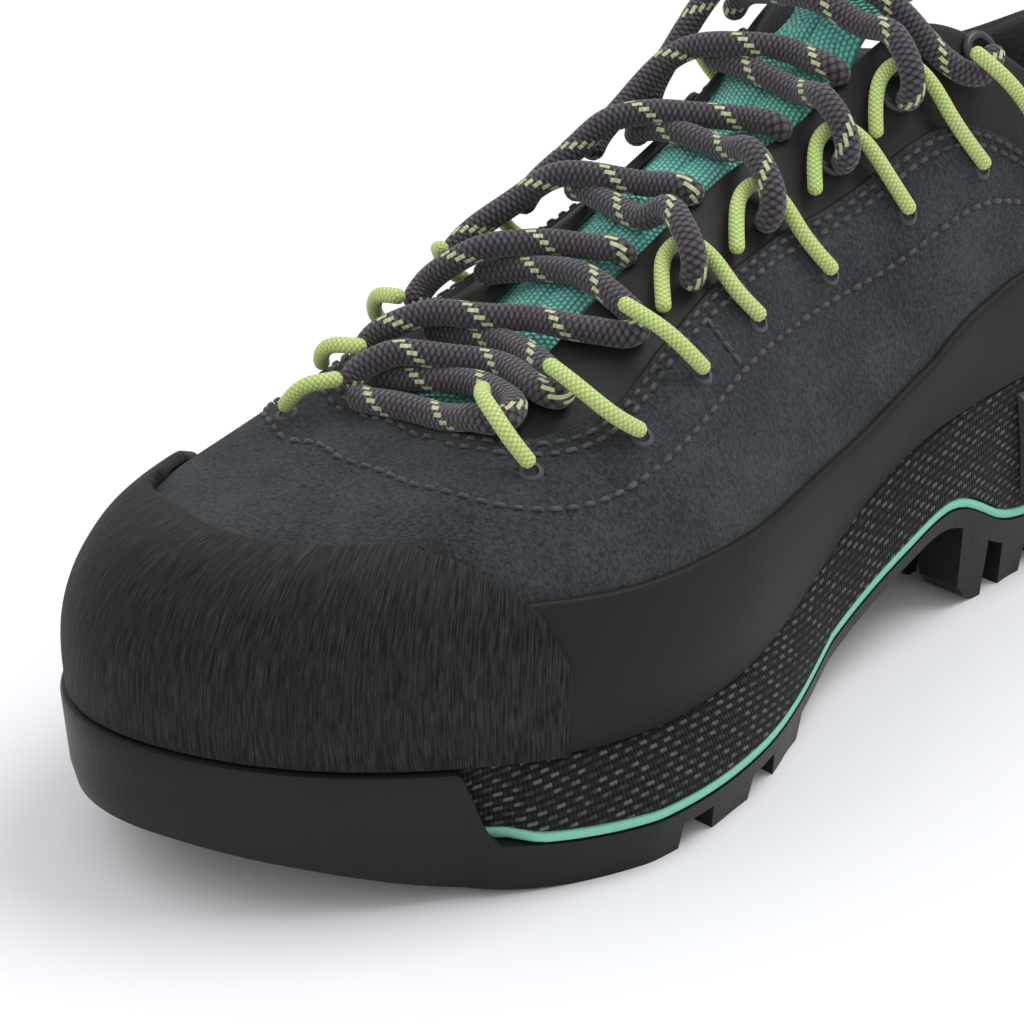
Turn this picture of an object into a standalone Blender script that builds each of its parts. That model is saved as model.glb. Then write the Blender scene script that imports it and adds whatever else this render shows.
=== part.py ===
"""Approach shoe for the left foot, built as separate solids.

Frame: metres, +Z up, toe towards -Y, the outer (lateral) side towards +X.
The origin is on the floor, under the middle of the shoe.

The upper is one surface that runs around the foot. Its sections are the ribs of
the table RIBS: each rib climbs from the feather line, where the upper meets the
sole, to the edge of the throat or the collar. A place on the surface is (u, v):
u counts ribs around the shoe from the toe over the lateral side, v goes from 0
at the feather line to 1 at the edge. Cap, rand, tongue, cords and sole use it too.
"""

import math
from collections import namedtuple

import bmesh
import bpy
import numpy as np
from mathutils import Vector

# Driving dimensions, in metres
LENGTH = 0.270
BALL_WIDTH = 0.100
INSTEP_HEIGHT = 0.113
HEEL_HEIGHT = 0.097
FEATHER_HEIGHT = 0.0425

# Walls and layers
GAP = 0.0003
WALL = 0.0030
COLLAR_PADDING = 0.0032
SUEDE_STEP = 0.0011
STEP_SLOPE = 0.006
CAP_THICKNESS = 0.0020
RAND_THICKNESS = 0.0011
MINT_THICKNESS = 0.0020
BUMPER_THICKNESS = 0.0026
INSOLE_THICKNESS = 0.0040
INSOLE_CLEARANCE = 0.0007
TONGUE_THICKNESS = 0.0038
STABILISER_THICKNESS = 0.0016
LUG_DRAFT = 0.0009

# Lacing
LACE_DIAMETER = 0.0047
CORD_DIAMETER = 0.0028
EYELET_OUTSIDE = 0.0085
EYELET_BORE = 0.0050
EYELET_HEIGHT = 0.0011

# Ribs around the shoe. base: feather line, as shares of LENGTH from mid-length,
# of half BALL_WIDTH, and of FEATHER_HEIGHT. edge: throat or collar edge, its
# height a share of INSTEP_HEIGHT, or of HEEL_HEIGHT where of_heel is 1.
# The three points between: in is the share of the way from base to edge in plan,
# up the share of the climb. flare: how far the sole stands out of the feather.
Rib = namedtuple(
    "Rib",
    "name base_along base_across base_lift edge_along edge_across edge_lift of_heel"
    " low_in low_up mid_in mid_up high_in high_up flare",
)
RIBS = [
    Rib("toe", -.483, -.24, .730, -.243, -.11, .593, 0, .01, .36, .09, .62, .33, .74, .06),
    Rib("outer toe", -.465, .04, .694, -.240, -.02, .593, 0, .01, .36, .09, .62, .33, .75, .06),
    Rib("outer corner", -.419, .34, .635, -.226, .07, .611, 0, -.01, .34, .09, .62, .33, .77, .06),
    Rib("outer toe side", -.347, .62, .576, -.189, .11, .650, 0, -.03, .32, .09, .60, .35, .78, .08),
    Rib("outer ball", -.244, .82, .506, -.137, .11, .708, 0, -.05, .28, .09, .56, .42, .78, .16),
    Rib("outer vamp", -.141, .83, .518, -.074, .11, .770, 0, -.05, .26, .12, .53, .48, .80, .13),
    Rib("outer waist", -.022, .68, .635, .015, .13, .841, 0, -.08, .22, .12, .51, .50, .79, .08),
    Rib("outer arch", .078, .62, .870, .093, .17, .903, 0, -.11, .22, .10, .51, .46, .78, .10),
    Rib("outer throat", .167, .63, .976, .185, .27, .991, 0, -.08, .22, .06, .52, .44, .77, .10),
    Rib("outer ankle", .244, .65, 1.0, .263, .48, 1.03, 1, -.20, .25, .02, .55, .50, .80, .08),
    Rib("outer heel", .367, .61, 1.0, .356, .47, .907, 1, -.15, .30, .15, .60, .60, .82, .08),
    Rib("outer back", .452, .35, 1.0, .437, .23, .948, 1, -.15, .30, .20, .60, .55, .82, .08),
    Rib("heel", .478, -.07, 1.0, .463, -.07, 1.0, 1, -.30, .30, .30, .60, .70, .84, .10),
    Rib("inner back", .452, -.47, 1.0, .437, -.37, .948, 1, -.15, .30, .20, .60, .55, .82, .08),
    Rib("inner heel", .367, -.71, 1.0, .356, -.61, .918, 1, -.15, .30, .15, .60, .60, .82, .08),
    Rib("inner ankle", .244, -.75, 1.0, .263, -.63, 1.04, 1, -.20, .25, .02, .55, .50, .80, .08),
    Rib("inner throat", .167, -.71, .990, .185, -.42, 1.0, 0, -.08, .22, .06, .52, .44, .77, .08),
    Rib("inner arch", .078, -.67, .918, .093, -.33, .916, 0, -.15, .22, .10, .51, .46, .77, .08),
    Rib("inner waist", -.022, -.73, .682, .015, -.29, .841, 0, -.10, .22, .12, .50, .48, .77, .08),
    Rib("inner vamp", -.133, -.87, .553, -.074, -.27, .761, 0, -.03, .26, .14, .51, .46, .77, .08),
    Rib("inner ball", -.241, -.93, .541, -.137, -.27, .700, 0, -.02, .30, .14, .55, .40, .75, .08),
    Rib("inner toe side", -.350, -.86, .612, -.189, -.27, .642, 0, -.01, .34, .12, .58, .34, .73, .06),
    Rib("inner corner", -.426, -.72, .694, -.226, -.25, .602, 0, .01, .36, .10, .60, .33, .72, .06),
    Rib("inner toe", -.470, -.49, .718, -.240, -.19, .593, 0, .01, .36, .10, .62, .33, .73, .06),
]
RIB_COUNT = len(RIBS)
HEEL_RIB = 12

# Side profile of the sole: heights as shares of FEATHER_HEIGHT along the shoe.
# mint: top of the bright layer. root: sole between the lugs. tread: lug faces.
Profile = namedtuple("Profile", "along mint root tread")
SOLE_PROFILE = [
    Profile(-.500, .52, .45, .370),
    Profile(-.475, .48, .40, .300),
    Profile(-.425, .40, .31, .190),
    Profile(-.375, .33, .21, .080),
    Profile(-.325, .28, .15, .010),
    Profile(-.290, .255, .12, .000),
    Profile(-.210, .240, .115, .000),
    Profile(-.100, .255, .115, .000),
    Profile(-.050, .290, .140, .000),
    Profile(.000, .370, .235, .110),
    Profile(.050, .470, .335, .230),
    Profile(.100, .575, .440, .330),
    Profile(.130, .630, .490, .380),
    Profile(.148, .610, .450, .000),
    Profile(.175, .470, .300, .000),
    Profile(.210, .370, .190, .000),
    Profile(.260, .350, .165, .000),
    Profile(.400, .360, .165, .000),
    Profile(.450, .375, .185, .010),
    Profile(.500, .390, .230, .110),
]
PROFILE_SMOOTHING = 0.006

# Stations around the shoe: a wide cell holds a lug, a narrow one the groove after it
LUG_PITCHES = 36
LUG_SHARE = 0.62
# Bands of the tread between rim (1) and spine (0): lugs in the odd ones
TREAD_BANDS = [1.0, 0.72, 0.60, 0.27, 0.15, 0.0]
TREAD_BAND_HAS_LUGS = [True, False, True, False, True]
TOE_TREAD_LAST_RIB = 3.9
PLATE_SHARES = [0.5, 0.0]
SPINE_FIRST_RIB = 2.7
SPINE_LAST_RIB = 10.6

# Where the parts of the upper end, as (u, v) places; the inner side mirrors them
CAP_HALF_SPAN = 3.57
RAND_START = 3.60
PANEL_ROWS = [0.0, 0.33, 0.66, 0.88, 1.0]
CAP_SWELL = [1.0, 1.0, 0.85, 1.15, 0.8]
Edge = namedtuple("Edge", "u v")
CAP_RIM = [
    Edge(0.0, .46), Edge(1.3, .47), Edge(2.3, .485), Edge(2.85, .43), Edge(3.2, .37), Edge(3.4, .31),
    Edge(3.57, .20),
]
RAND_TOP = [
    Edge(3.4, .34), Edge(4.6, .325), Edge(5.6, .295), Edge(6.5, .25), Edge(7.3, .235),
    Edge(8.1, .29), Edge(9.0, .40), Edge(10.5, .43), Edge(12.0, .47),
]
SUEDE_EDGE = [
    Edge(0.0, .92), Edge(1.0, .91), Edge(2.0, .86), Edge(2.7, .79), Edge(3.3, .715), Edge(4.1, .705),
    Edge(4.6, .76), Edge(5.3, .80), Edge(6.2, .795), Edge(7.0, .76), Edge(8.0, .73),
    Edge(9.0, .70), Edge(10.5, .66), Edge(12.0, .70),
]

# Rubber sole wrapped over the toe: full height up to the first rib, gone by the second
BUMPER_FULL_RIB = 2.88
BUMPER_END_RIB = 3.12
CORE_INSIDE_RIB = 3.20
BUMPER_OVERHANG = 0.0032
MIDSOLE_LEDGE = 0.0010
MIDSOLE_BULGE = 0.0010

STABILISER_FIRST_RIB = 8.6
STABILISER_SEAT = 0.0005
STABILISER_LOW = 0.12
STABILISER_HIGH = 0.90

# Lacing: routes of the lace's strands and of the cord loops. A place is (u, s, lift in mm).
# s is 1 at the outer edge of the throat and -1 at the inner edge. Between the edges it
# crosses the tongue, beyond them it runs down the eyestay.
LACE_STRANDS = {
    "toe bar": [
        (2.10, -1.38, 2.4), (1.62, -1.27, 1.9), (0.95, -1.18, 1.9), (0.38, 1.12, 1.9), (1.40, 1.17, 1.8),
        (1.96, 1.26, 1.7), (2.66, 1.50, 2.8), (2.94, 1.60, 2.8), (3.05, 1.54, 2.7),
    ],
    "back 1": [
        (2.94, 1.60, 2.8), (3.05, 1.54, 2.7), (2.99, 1.42, 1.7), (2.66, 1.23, 1.6), (2.14, 0.80, 1.7),
        (1.95, -0.08, 1.8), (1.55, -0.95, 1.6), (2.13, -1.15, 1.6), (2.55, -1.30, 1.7),
    ],
    "over 2": [
        (2.22, -1.41, 2.6), (2.38, -1.38, 4.4), (2.24, -1.22, 6.0), (1.92, -1.03, 6.7), (1.97, -0.75, 6.3),
        (2.34, 0.02, 4.0), (2.62, 0.90, 1.9), (3.16, 1.33, 1.6), (3.42, 1.51, 1.7), (3.56, 1.57, 1.7),
        (3.57, 1.50, 1.7),
    ],
    "back 2": [
        (3.56, 1.57, 1.7), (3.57, 1.50, 1.7), (3.46, 1.38, 1.7), (3.22, 1.17, 1.6), (3.01, 0.74, 1.7),
        (3.04, 0.05, 1.7), (2.98, -0.51, 1.6), (2.95, -0.90, 1.5), (3.20, -1.20, 1.6),
    ],
    "over 3": [
        (3.00, -1.49, 2.2), (3.13, -1.45, 4.2), (3.06, -1.28, 6.0), (2.93, -0.98, 6.8), (3.02, -0.60, 6.0),
        (3.22, 0.10, 4.2), (3.45, 0.70, 2.4), (3.72, 1.13, 1.7), (4.14, 1.34, 1.7), (4.40, 1.46, 1.7),
        (4.50, 1.44, 1.7),
    ],
    "back 3": [
        (4.40, 1.46, 1.7), (4.50, 1.44, 1.7), (4.46, 1.34, 1.7), (4.32, 1.15, 1.6), (4.22, 0.65, 1.7),
        (4.20, 0.04, 1.7), (4.12, -0.50, 1.6), (4.02, -0.92, 1.5), (4.20, -1.22, 1.6),
    ],
    "over 4": [
        (3.82, -1.47, 2.2), (4.02, -1.44, 4.2), (4.02, -1.22, 6.2), (4.02, -1.00, 6.8), (4.17, -0.72, 6.0),
        (4.38, -0.42, 4.4), (4.52, 0.00, 2.8), (4.62, 0.46, 1.8), (4.66, 0.90, 1.6),
    ],
    "back 4": [
        (5.12, 1.37, 6.2), (5.13, 1.27, 6.4), (5.14, 1.15, 6.2), (5.14, 1.00, 4.8), (5.09, 0.80, 2.2),
        (5.12, 0.00, 1.7), (5.18, -0.60, 2.0), (5.22, -0.95, 2.1), (5.40, -1.18, 1.8),
    ],
    "over 5": [
        (4.68, -1.58, 5.0), (4.80, -1.50, 6.4), (4.95, -1.34, 6.9), (5.08, -1.18, 7.0), (5.14, -1.02, 6.9),
        (5.20, -0.79, 6.2), (5.30, -0.30, 4.0), (5.42, 0.33, 2.0), (5.47, 0.90, 1.6),
    ],
    "back 5": [
        (5.92, 1.37, 6.2), (5.93, 1.27, 6.4), (5.94, 1.15, 6.2), (5.94, 1.00, 4.8), (5.97, 0.78, 2.2),
        (6.00, 0.00, 1.8), (6.00, -0.60, 2.2), (5.97, -0.95, 2.1), (6.10, -1.18, 1.8),
    ],
    "over 6": [
        (5.30, -1.48, 4.6), (5.40, -1.42, 6.4), (5.52, -1.32, 7.2), (5.66, -1.18, 7.4), (5.80, -1.00, 7.2),
        (5.90, -0.80, 6.8), (6.02, -0.55, 5.8), (6.18, -0.20, 4.0), (6.38, 0.20, 2.4), (6.50, 0.60, 1.7),
        (6.52, 0.90, 1.6),
    ],
    "back 6": [
        (6.86, 1.37, 6.2), (6.87, 1.27, 6.4), (6.88, 1.15, 6.2), (6.88, 1.00, 4.8), (6.92, 0.80, 2.2),
        (6.96, 0.10, 1.8), (6.98, -0.45, 2.2), (6.98, -0.75, 2.8), (6.99, -0.98, 2.4),
    ],
    "over 7": [
        (6.00, -1.42, 5.0), (6.14, -1.40, 6.8), (6.40, -1.30, 7.8), (6.68, -1.12, 8.0), (6.90, -0.85, 7.4),
        (7.02, -0.50, 6.6), (7.12, -0.22, 5.0), (7.20, 0.05, 3.4), (7.21, 0.45, 2.2), (7.20, 0.85, 1.9),
    ],
    "back 7": [
        (7.56, 1.37, 6.2), (7.57, 1.27, 6.4), (7.58, 1.15, 6.2), (7.58, 1.00, 4.8), (7.57, 0.75, 3.6),
        (7.59, 0.20, 6.2), (7.60, -0.25, 6.0), (7.63, -0.62, 4.6), (7.66, -1.05, 3.4), (7.74, -1.28, 3.4),
    ],
    "over 8": [
        (6.80, -1.42, 5.0), (6.95, -1.40, 6.8), (7.15, -1.30, 7.8), (7.40, -1.12, 8.6), (7.62, -0.80, 9.8),
        (7.75, -0.30, 10.0), (7.80, 0.30, 8.4), (7.80, 0.80, 4.2), (7.82, 1.05, 1.8), (7.90, 1.22, 1.8),
        (8.00, 1.33, 1.9), (8.12, 1.39, 2.4), (8.26, 1.36, 3.0), (8.36, 1.25, 3.3), (8.42, 1.13, 3.3),
    ],
}
CORD_LOOPS = {
    "outer 1": [
        (3.29, 1.94, 1.4), (3.08, 1.82, 5.2), (2.88, 1.66, 7.5), (2.72, 1.50, 7.5), (2.66, 1.38, 6.4),
    ],
    "outer 2": [
        (4.24, 1.98, 1.4), (3.96, 1.86, 4.2), (3.72, 1.70, 6.1), (3.52, 1.53, 6.4), (3.38, 1.40, 6.0),
    ],
    "outer 3": [
        (4.94, 1.87, 1.4), (4.76, 1.76, 4.2), (4.58, 1.60, 6.1), (4.43, 1.45, 6.4), (4.30, 1.31, 6.0),
    ],
    "outer 4": [
        (5.58, 1.84, 1.4), (5.39, 1.58, 2.1), (5.31, 1.34, 2.0), (5.19, 1.20, 1.9), (5.03, 1.18, 1.9),
        (4.88, 1.27, 1.9), (4.77, 1.45, 1.0),
    ],
    "outer 5": [
        (6.43, 1.91, 1.4), (6.19, 1.58, 2.1), (6.11, 1.34, 2.0), (5.99, 1.20, 1.9), (5.83, 1.18, 1.9),
        (5.68, 1.27, 1.9), (5.57, 1.45, 1.0),
    ],
    "outer 6": [
        (7.29, 1.98, 1.4), (7.13, 1.58, 2.1), (7.05, 1.34, 2.0), (6.93, 1.20, 1.9), (6.77, 1.18, 1.9),
        (6.62, 1.27, 1.9), (6.51, 1.45, 1.0),
    ],
    "outer 7": [
        (8.12, 1.96, 1.4), (7.83, 1.58, 2.1), (7.75, 1.34, 2.0), (7.63, 1.20, 1.9), (7.47, 1.18, 1.9),
        (7.32, 1.27, 1.9), (7.21, 1.45, 1.0),
    ],
    "outer 8": [
        (8.85, 1.85, 1.4), (8.74, 1.68, 3.6), (8.50, 1.54, 6.0), (8.24, 1.42, 7.2), (8.06, 1.27, 6.4),
    ],
    "inner 1": [
        (2.67, -1.88, 1.4), (2.44, -1.76, 4.4), (2.26, -1.62, 6.7), (2.08, -1.48, 6.9), (1.94, -1.36, 6.5),
    ],
    "inner 2": [
        (3.45, -1.88, 1.4), (3.22, -1.76, 4.2), (3.04, -1.62, 6.5), (2.86, -1.48, 6.7), (2.72, -1.36, 6.3),
    ],
    "inner 3": [
        (4.27, -1.88, 1.4), (4.04, -1.76, 4.2), (3.86, -1.62, 6.5), (3.68, -1.48, 6.7), (3.54, -1.36, 6.3),
    ],
    "inner 4": [
        (5.13, -1.88, 1.4), (4.90, -1.76, 6.0), (4.72, -1.62, 9.2), (4.59, -1.54, 9.4), (4.50, -1.46, 9.0),
    ],
    "inner 5": [
        (5.75, -1.88, 1.4), (5.52, -1.76, 5.7), (5.34, -1.62, 8.8), (5.21, -1.54, 9.0), (5.12, -1.46, 8.6),
    ],
    "inner 6": [
        (6.45, -1.88, 1.4), (6.22, -1.76, 6.0), (6.04, -1.62, 9.2), (5.91, -1.54, 9.4), (5.82, -1.46, 9.0),
    ],
    "inner 7": [
        (7.25, -1.88, 1.4), (7.02, -1.76, 6.0), (6.84, -1.62, 9.2), (6.71, -1.54, 9.4), (6.62, -1.46, 9.0),
    ],
    "inner 8": [
        (8.23, -1.88, 1.4), (8.00, -1.76, 4.9), (7.82, -1.62, 7.6), (7.69, -1.54, 7.8), (7.60, -1.46, 7.4),
    ],
}
# Strands that touch are one solid
LACE_PIECES = {
    "lace_front": ["toe bar", "back 1", "over 2", "back 2", "over 3", "back 3"],
    "lace_crossing_1": ["over 4"],
    "lace_crossing_2": ["back 4", "over 5"],
    "lace_crossing_3": ["back 5", "over 6"],
    "lace_crossing_4": ["back 6", "over 7"],
    "lace_crossing_5": ["back 7"],
    "lace_crossing_6": ["over 8"],
}
# Plastic rings of the upper rows, as (row, u, s)
LACE_RINGS = [(6, 6.86, 1.32), (7, 7.56, 1.32), (8, 8.42, 1.14)]
EYESTAY_PER_SIDE = 0.4
STRAND_SPACING = 0.0050
CORD_POINTS = 7

# Tongue: wings lie under the upper at these v, the tip rises out of the throat
TONGUE_WINGS = [.80, .90, 1.0]
TONGUE_LAST_RIB = 7.2
TONGUE_NARROWS_RIB = 5.8
TONGUE_FULL_RIB = 3.2
TONGUE_CLEARANCE = 0.0006
TONGUE_DIP = 0.0012
TipRow = namedtuple("TipRow", "back up half_width drop")
TONGUE_TIP = [
    TipRow(0.009, 0.0065, 0.0085, 0.0010),
    TipRow(0.017, 0.0150, 0.0160, 0.0020),
    TipRow(0.023, 0.0235, 0.0215, 0.0030),
    TipRow(0.0265, 0.0290, 0.0170, 0.0020),
]


def clear_scene():
    for thing in list(bpy.data.objects):
        bpy.data.objects.remove(thing, do_unlink=True)


def make_material(name, colour, roughness, metallic=0.0):
    material = bpy.data.materials.new(name)
    material.use_nodes = True
    shader = material.node_tree.nodes["Principled BSDF"]
    shader.inputs["Base Color"].default_value = (*colour, 1.0)
    shader.inputs["Roughness"].default_value = roughness
    shader.inputs["Metallic"].default_value = metallic
    return material


# The last: one smooth surface through the ribs

def periodic_curve(knots, values, period):
    """Smooth closed curve through the values at the knots."""
    count = len(knots)
    steps = np.diff(np.append(knots, knots[0] + period))
    system = np.zeros((count, count))
    right = np.zeros_like(values)
    for k in range(count):
        after = (k + 1) % count
        system[k, k - 1] += steps[k - 1]
        system[k, k] += 2 * (steps[k - 1] + steps[k])
        system[k, after] += steps[k]
        rise = (values[after] - values[k]) / steps[k]
        fall = (values[k] - values[k - 1]) / steps[k - 1]
        right[k] = 6 * (rise - fall)
    bends = np.linalg.solve(system, right)

    def at(place):
        place = (place - knots[0]) % period + knots[0]
        k = int(np.searchsorted(knots, place, side="right")) - 1
        after = (k + 1) % count
        a = place - knots[k]
        b = steps[k] - a
        bow = (bends[k] * b**3 + bends[after] * a**3) / (6 * steps[k])
        left_part = (values[k] / steps[k] - bends[k] * steps[k] / 6) * b
        return bow + left_part + (values[after] / steps[k] - bends[after] * steps[k] / 6) * a

    return at


def open_curve(knots, values, places):
    """Smooth open curve through the values, read at the places."""
    count = len(knots)
    steps = np.diff(knots)
    system = np.eye(count)
    right = np.zeros_like(values)
    for k in range(1, count - 1):
        system[k, k - 1] = steps[k - 1]
        system[k, k] = 2 * (steps[k - 1] + steps[k])
        system[k, k + 1] = steps[k]
        rise = (values[k + 1] - values[k]) / steps[k]
        fall = (values[k] - values[k - 1]) / steps[k - 1]
        right[k] = 6 * (rise - fall)
    bends = np.linalg.solve(system, right)
    k = np.clip(np.searchsorted(knots, places, side="right") - 1, 0, count - 2)
    a = (places - knots[k])[:, None]
    b = (knots[k + 1] - places)[:, None]
    step = steps[k][:, None]
    bow = (bends[k] * b**3 + bends[k + 1] * a**3) / (6 * step)
    left_part = (values[k] / step - bends[k] * step / 6) * b
    return bow + left_part + (values[k + 1] / step - bends[k + 1] * step / 6) * a


def rib_points(rib):
    """The five points of one rib, from the feather line to the edge."""
    base = np.array([
        rib.base_across * BALL_WIDTH / 2,
        rib.base_along * LENGTH,
        rib.base_lift * FEATHER_HEIGHT,
    ])
    top = HEEL_HEIGHT if rib.of_heel else INSTEP_HEIGHT
    edge = np.array([
        rib.edge_across * BALL_WIDTH / 2,
        rib.edge_along * LENGTH,
        rib.edge_lift * top,
    ])
    points = [base]
    shares = [(rib.low_in, rib.low_up), (rib.mid_in, rib.mid_up), (rib.high_in, rib.high_up)]
    for inward, up in shares:
        point = base + (edge - base) * inward
        point[2] = base[2] + (edge[2] - base[2]) * up
        points.append(point)
    points.append(edge)
    return np.array(points)


CONTROLS = np.array([rib_points(rib) for rib in RIBS])
BASE_STEPS = np.linalg.norm(np.roll(CONTROLS[:, 0], -1, axis=0) - CONTROLS[:, 0], axis=1)
RING_KNOTS = np.append(0.0, np.cumsum(BASE_STEPS))
RING = periodic_curve(RING_KNOTS[:-1], CONTROLS.reshape(RIB_COUNT, -1), RING_KNOTS[-1])


def rib_at(u, places):
    """Points of the surface at rib number u, for the places v from 0 to 1."""
    whole = math.floor(u % RIB_COUNT)
    part = u % RIB_COUNT - whole
    arc = RING_KNOTS[whole] + (RING_KNOTS[whole + 1] - RING_KNOTS[whole]) * part
    points = RING(arc).reshape(5, 3)
    knots = np.append(0.0, np.cumsum(np.linalg.norm(np.diff(points, axis=0), axis=1)))
    return open_curve(knots / knots[-1], points, np.asarray(places, float))


def surface(u, v):
    return rib_at(u, [v])[0]


def normal(u, v):
    """Outward normal of the surface."""
    du = surface(u + 0.05, v) - surface(u - 0.05, v)
    low, high = rib_at(u, [max(v - 0.01, 0.0), min(v + 0.01, 1.0)])
    out = np.cross(du, high - low)
    return out / np.linalg.norm(out)


def offset(u, v, distance):
    return surface(u, v) + normal(u, v) * distance


def edge_at(table, u):
    """The v of a panel's edge at rib u; the inner side mirrors the outer."""
    mirrored = min(u % RIB_COUNT, RIB_COUNT - u % RIB_COUNT)
    return float(np.interp(mirrored, [row.u for row in table], [row.v for row in table]))


def rib_value(column, u):
    """A column of RIBS read between ribs."""
    values = [getattr(rib, column) for rib in RIBS]
    return float(np.interp(u % RIB_COUNT, range(RIB_COUNT + 1), values + values[:1]))


def blend(low, high, value):
    share = min(max((value - low) / (high - low), 0.0), 1.0)
    return share * share * (3 - 2 * share)


def profile(column, y):
    """Height of a line of the sole at y, with the corners of the table eased."""
    alongs = [row.along * LENGTH for row in SOLE_PROFILE]
    heights = [getattr(row, column) * FEATHER_HEIGHT for row in SOLE_PROFILE]
    samples = [y + PROFILE_SMOOTHING * share for share in (-1.0, -0.5, 0.0, 0.5, 1.0)]
    return float(np.mean(np.interp(samples, alongs, heights)))


def stations():
    """Rib numbers of the stations: lug, groove, lug, groove around the shoe."""
    pitch = RIB_COUNT / LUG_PITCHES
    places = []
    for number in range(LUG_PITCHES):
        places.append((number - LUG_SHARE / 2) * pitch)
        places.append((number + LUG_SHARE / 2) * pitch)
    return places


STATIONS = stations()
STATION_COUNT = len(STATIONS)


def signed_stations():
    """Stations by rib number, minus on the inner side, from heel to heel."""
    return sorted(u if u < HEEL_RIB else u - RIB_COUNT for u in STATIONS)


def mirrored_station(k):
    """The station at the same place on the other side of the shoe."""
    return (1 - k) % STATION_COUNT


def side_rib(k):
    """Rib number of a station, counted from the toe on either side."""
    return min(STATIONS[k] % RIB_COUNT, RIB_COUNT - STATIONS[k] % RIB_COUNT)


# Mesh helpers

class Shell:
    """A mesh made from points: points in one place are one vertex."""

    def __init__(self):
        self.bm = bmesh.new()
        self.found = {}

    def vertex(self, point):
        key = tuple(round(float(value) * 1e6) for value in point)
        if key not in self.found:
            self.found[key] = self.bm.verts.new([float(value) for value in point])
        return self.found[key]

    def face(self, points):
        corners = []
        for point in points:
            corner = self.vertex(point)
            if corner not in corners:
                corners.append(corner)
        if len(corners) < 3:
            return None
        return self.bm.faces.new(corners)

    def strip(self, low, high, closed=True):
        """Faces between two rows of points."""
        count = len(low)
        faces = []
        for k in range(count if closed else count - 1):
            after = (k + 1) % count
            faces.append(self.face([low[k], low[after], high[after], high[k]]))
        return faces

    def finish(self, name, material):
        bmesh.ops.triangulate(self.bm, faces=self.bm.faces[:], quad_method="SHORT_EDGE")
        bmesh.ops.recalc_face_normals(self.bm, faces=self.bm.faces[:])
        mesh = bpy.data.meshes.new(name)
        self.bm.to_mesh(mesh)
        self.bm.free()
        mesh.materials.append(material)
        mesh.shade_smooth()
        mesh.set_sharp_from_angle(angle=math.radians(40))
        piece = bpy.data.objects.new(name, mesh)
        bpy.context.collection.objects.link(piece)
        return piece


def spine_of(ring):
    """The middle line of a ring: each station's point halfway to the other side."""
    sides = [side_rib(k) for k in range(STATION_COUNT)]
    half = range(1, STATION_COUNT // 2 + 1)
    usable = [k for k in half if SPINE_FIRST_RIB <= sides[k] <= SPINE_LAST_RIB]
    spine = []
    for k in range(STATION_COUNT):
        near = k if k in half else mirrored_station(k)
        near = min(max(near, usable[0]), usable[-1])
        spine.append((ring[near] + ring[mirrored_station(near)]) / 2)
    return np.array(spine)


def inner_rings(ring, shares, height=None):
    """Rings between a rim and its spine, on a height profile if one is given."""
    spine = spine_of(ring)
    rings = []
    for share in shares:
        points = ring * share + spine * (1 - share)
        if height is not None:
            points = np.array([(x, y, height(y)) for x, y, z in points])
        rings.append(points)
    return rings


def closed_plate(name, material, top, wall, bottom):
    """A plate: rings from the top spine outwards, down the wall and back in."""
    rings = list(reversed(top)) + wall + bottom
    shell = Shell()
    for low, high in zip(rings, rings[1:]):
        shell.strip(low, high)
    return shell.finish(name, material)


def closed_band(name, material, outer, inner, closed):
    """A wall between two grids of points; a row of each grid is one station."""
    shell = Shell()
    loops = [np.concatenate([out, inside[::-1]]) for out, inside in zip(outer, inner)]
    pairs = list(zip(loops, loops[1:]))
    if closed:
        pairs.append((loops[-1], loops[0]))
    for low, high in pairs:
        shell.strip(low, high)
    if not closed:
        for out, inside in ((outer[0], inner[0]), (outer[-1], inner[-1])):
            shell.strip(out, inside, closed=False)
    return shell.finish(name, material)


def tube(name, material, points, diameter, roundness=2):
    """A cord's solid: a bevelled curve through the points."""
    curve = bpy.data.curves.new(name, "CURVE")
    curve.dimensions = "3D"
    curve.bevel_depth = diameter / 2
    curve.bevel_resolution = roundness
    curve.use_fill_caps = True
    spline = curve.splines.new("POLY")
    spline.points.add(len(points) - 1)
    for target, point in zip(spline.points, points):
        target.co = (*[float(value) for value in point], 1.0)
    curve.materials.append(material)
    piece = bpy.data.objects.new(name, curve)
    bpy.context.collection.objects.link(piece)
    return piece


def smooth_route(points, count):
    """Evenly spaced points on a smooth curve through a cord's own points."""
    points = np.array(points)
    knots = np.append(0.0, np.cumsum(np.linalg.norm(np.diff(points, axis=0), axis=1)))
    return open_curve(knots / knots[-1], points, np.linspace(0.0, 1.0, count))


# Sole

def outset_ring(outset, height):
    """The feather line moved out in plan, at the heights given for each station."""
    ring = []
    for k, u in enumerate(STATIONS):
        here = surface(u, 0.0)
        along = surface(u + 0.05, 0.0) - surface(u - 0.05, 0.0)
        out = np.array([along[1], -along[0]])
        out /= np.linalg.norm(out)
        x, y = here[:2] - out * outset(k) * OUTWARD
        ring.append((x, y, height(k, y)))
    return np.array(ring)


def outward_sign():
    """Which side of the walk around the shoe is outside it."""
    along = surface(4.05, 0.0) - surface(3.95, 0.0)
    return -1.0 if along[1] > 0 else 1.0


OUTWARD = outward_sign()


def bumper_share(k):
    """1 where the rubber toe bumper stands, 0 behind it."""
    return 1 - blend(BUMPER_FULL_RIB, BUMPER_END_RIB, side_rib(k))


def flare(k):
    return rib_value("flare", STATIONS[k]) * BALL_WIDTH / 2


def sole_outset(k):
    """How far the sole's widest line stands out: the bumper at the toe, then the flare."""
    share = bumper_share(k)
    return share * BUMPER_OVERHANG + (1 - share) * flare(k)


def bumper_inside(k):
    """A line just inside the bumper's wall, carried on around the whole sole."""
    return sole_outset(k) - BUMPER_THICKNESS - GAP


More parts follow.
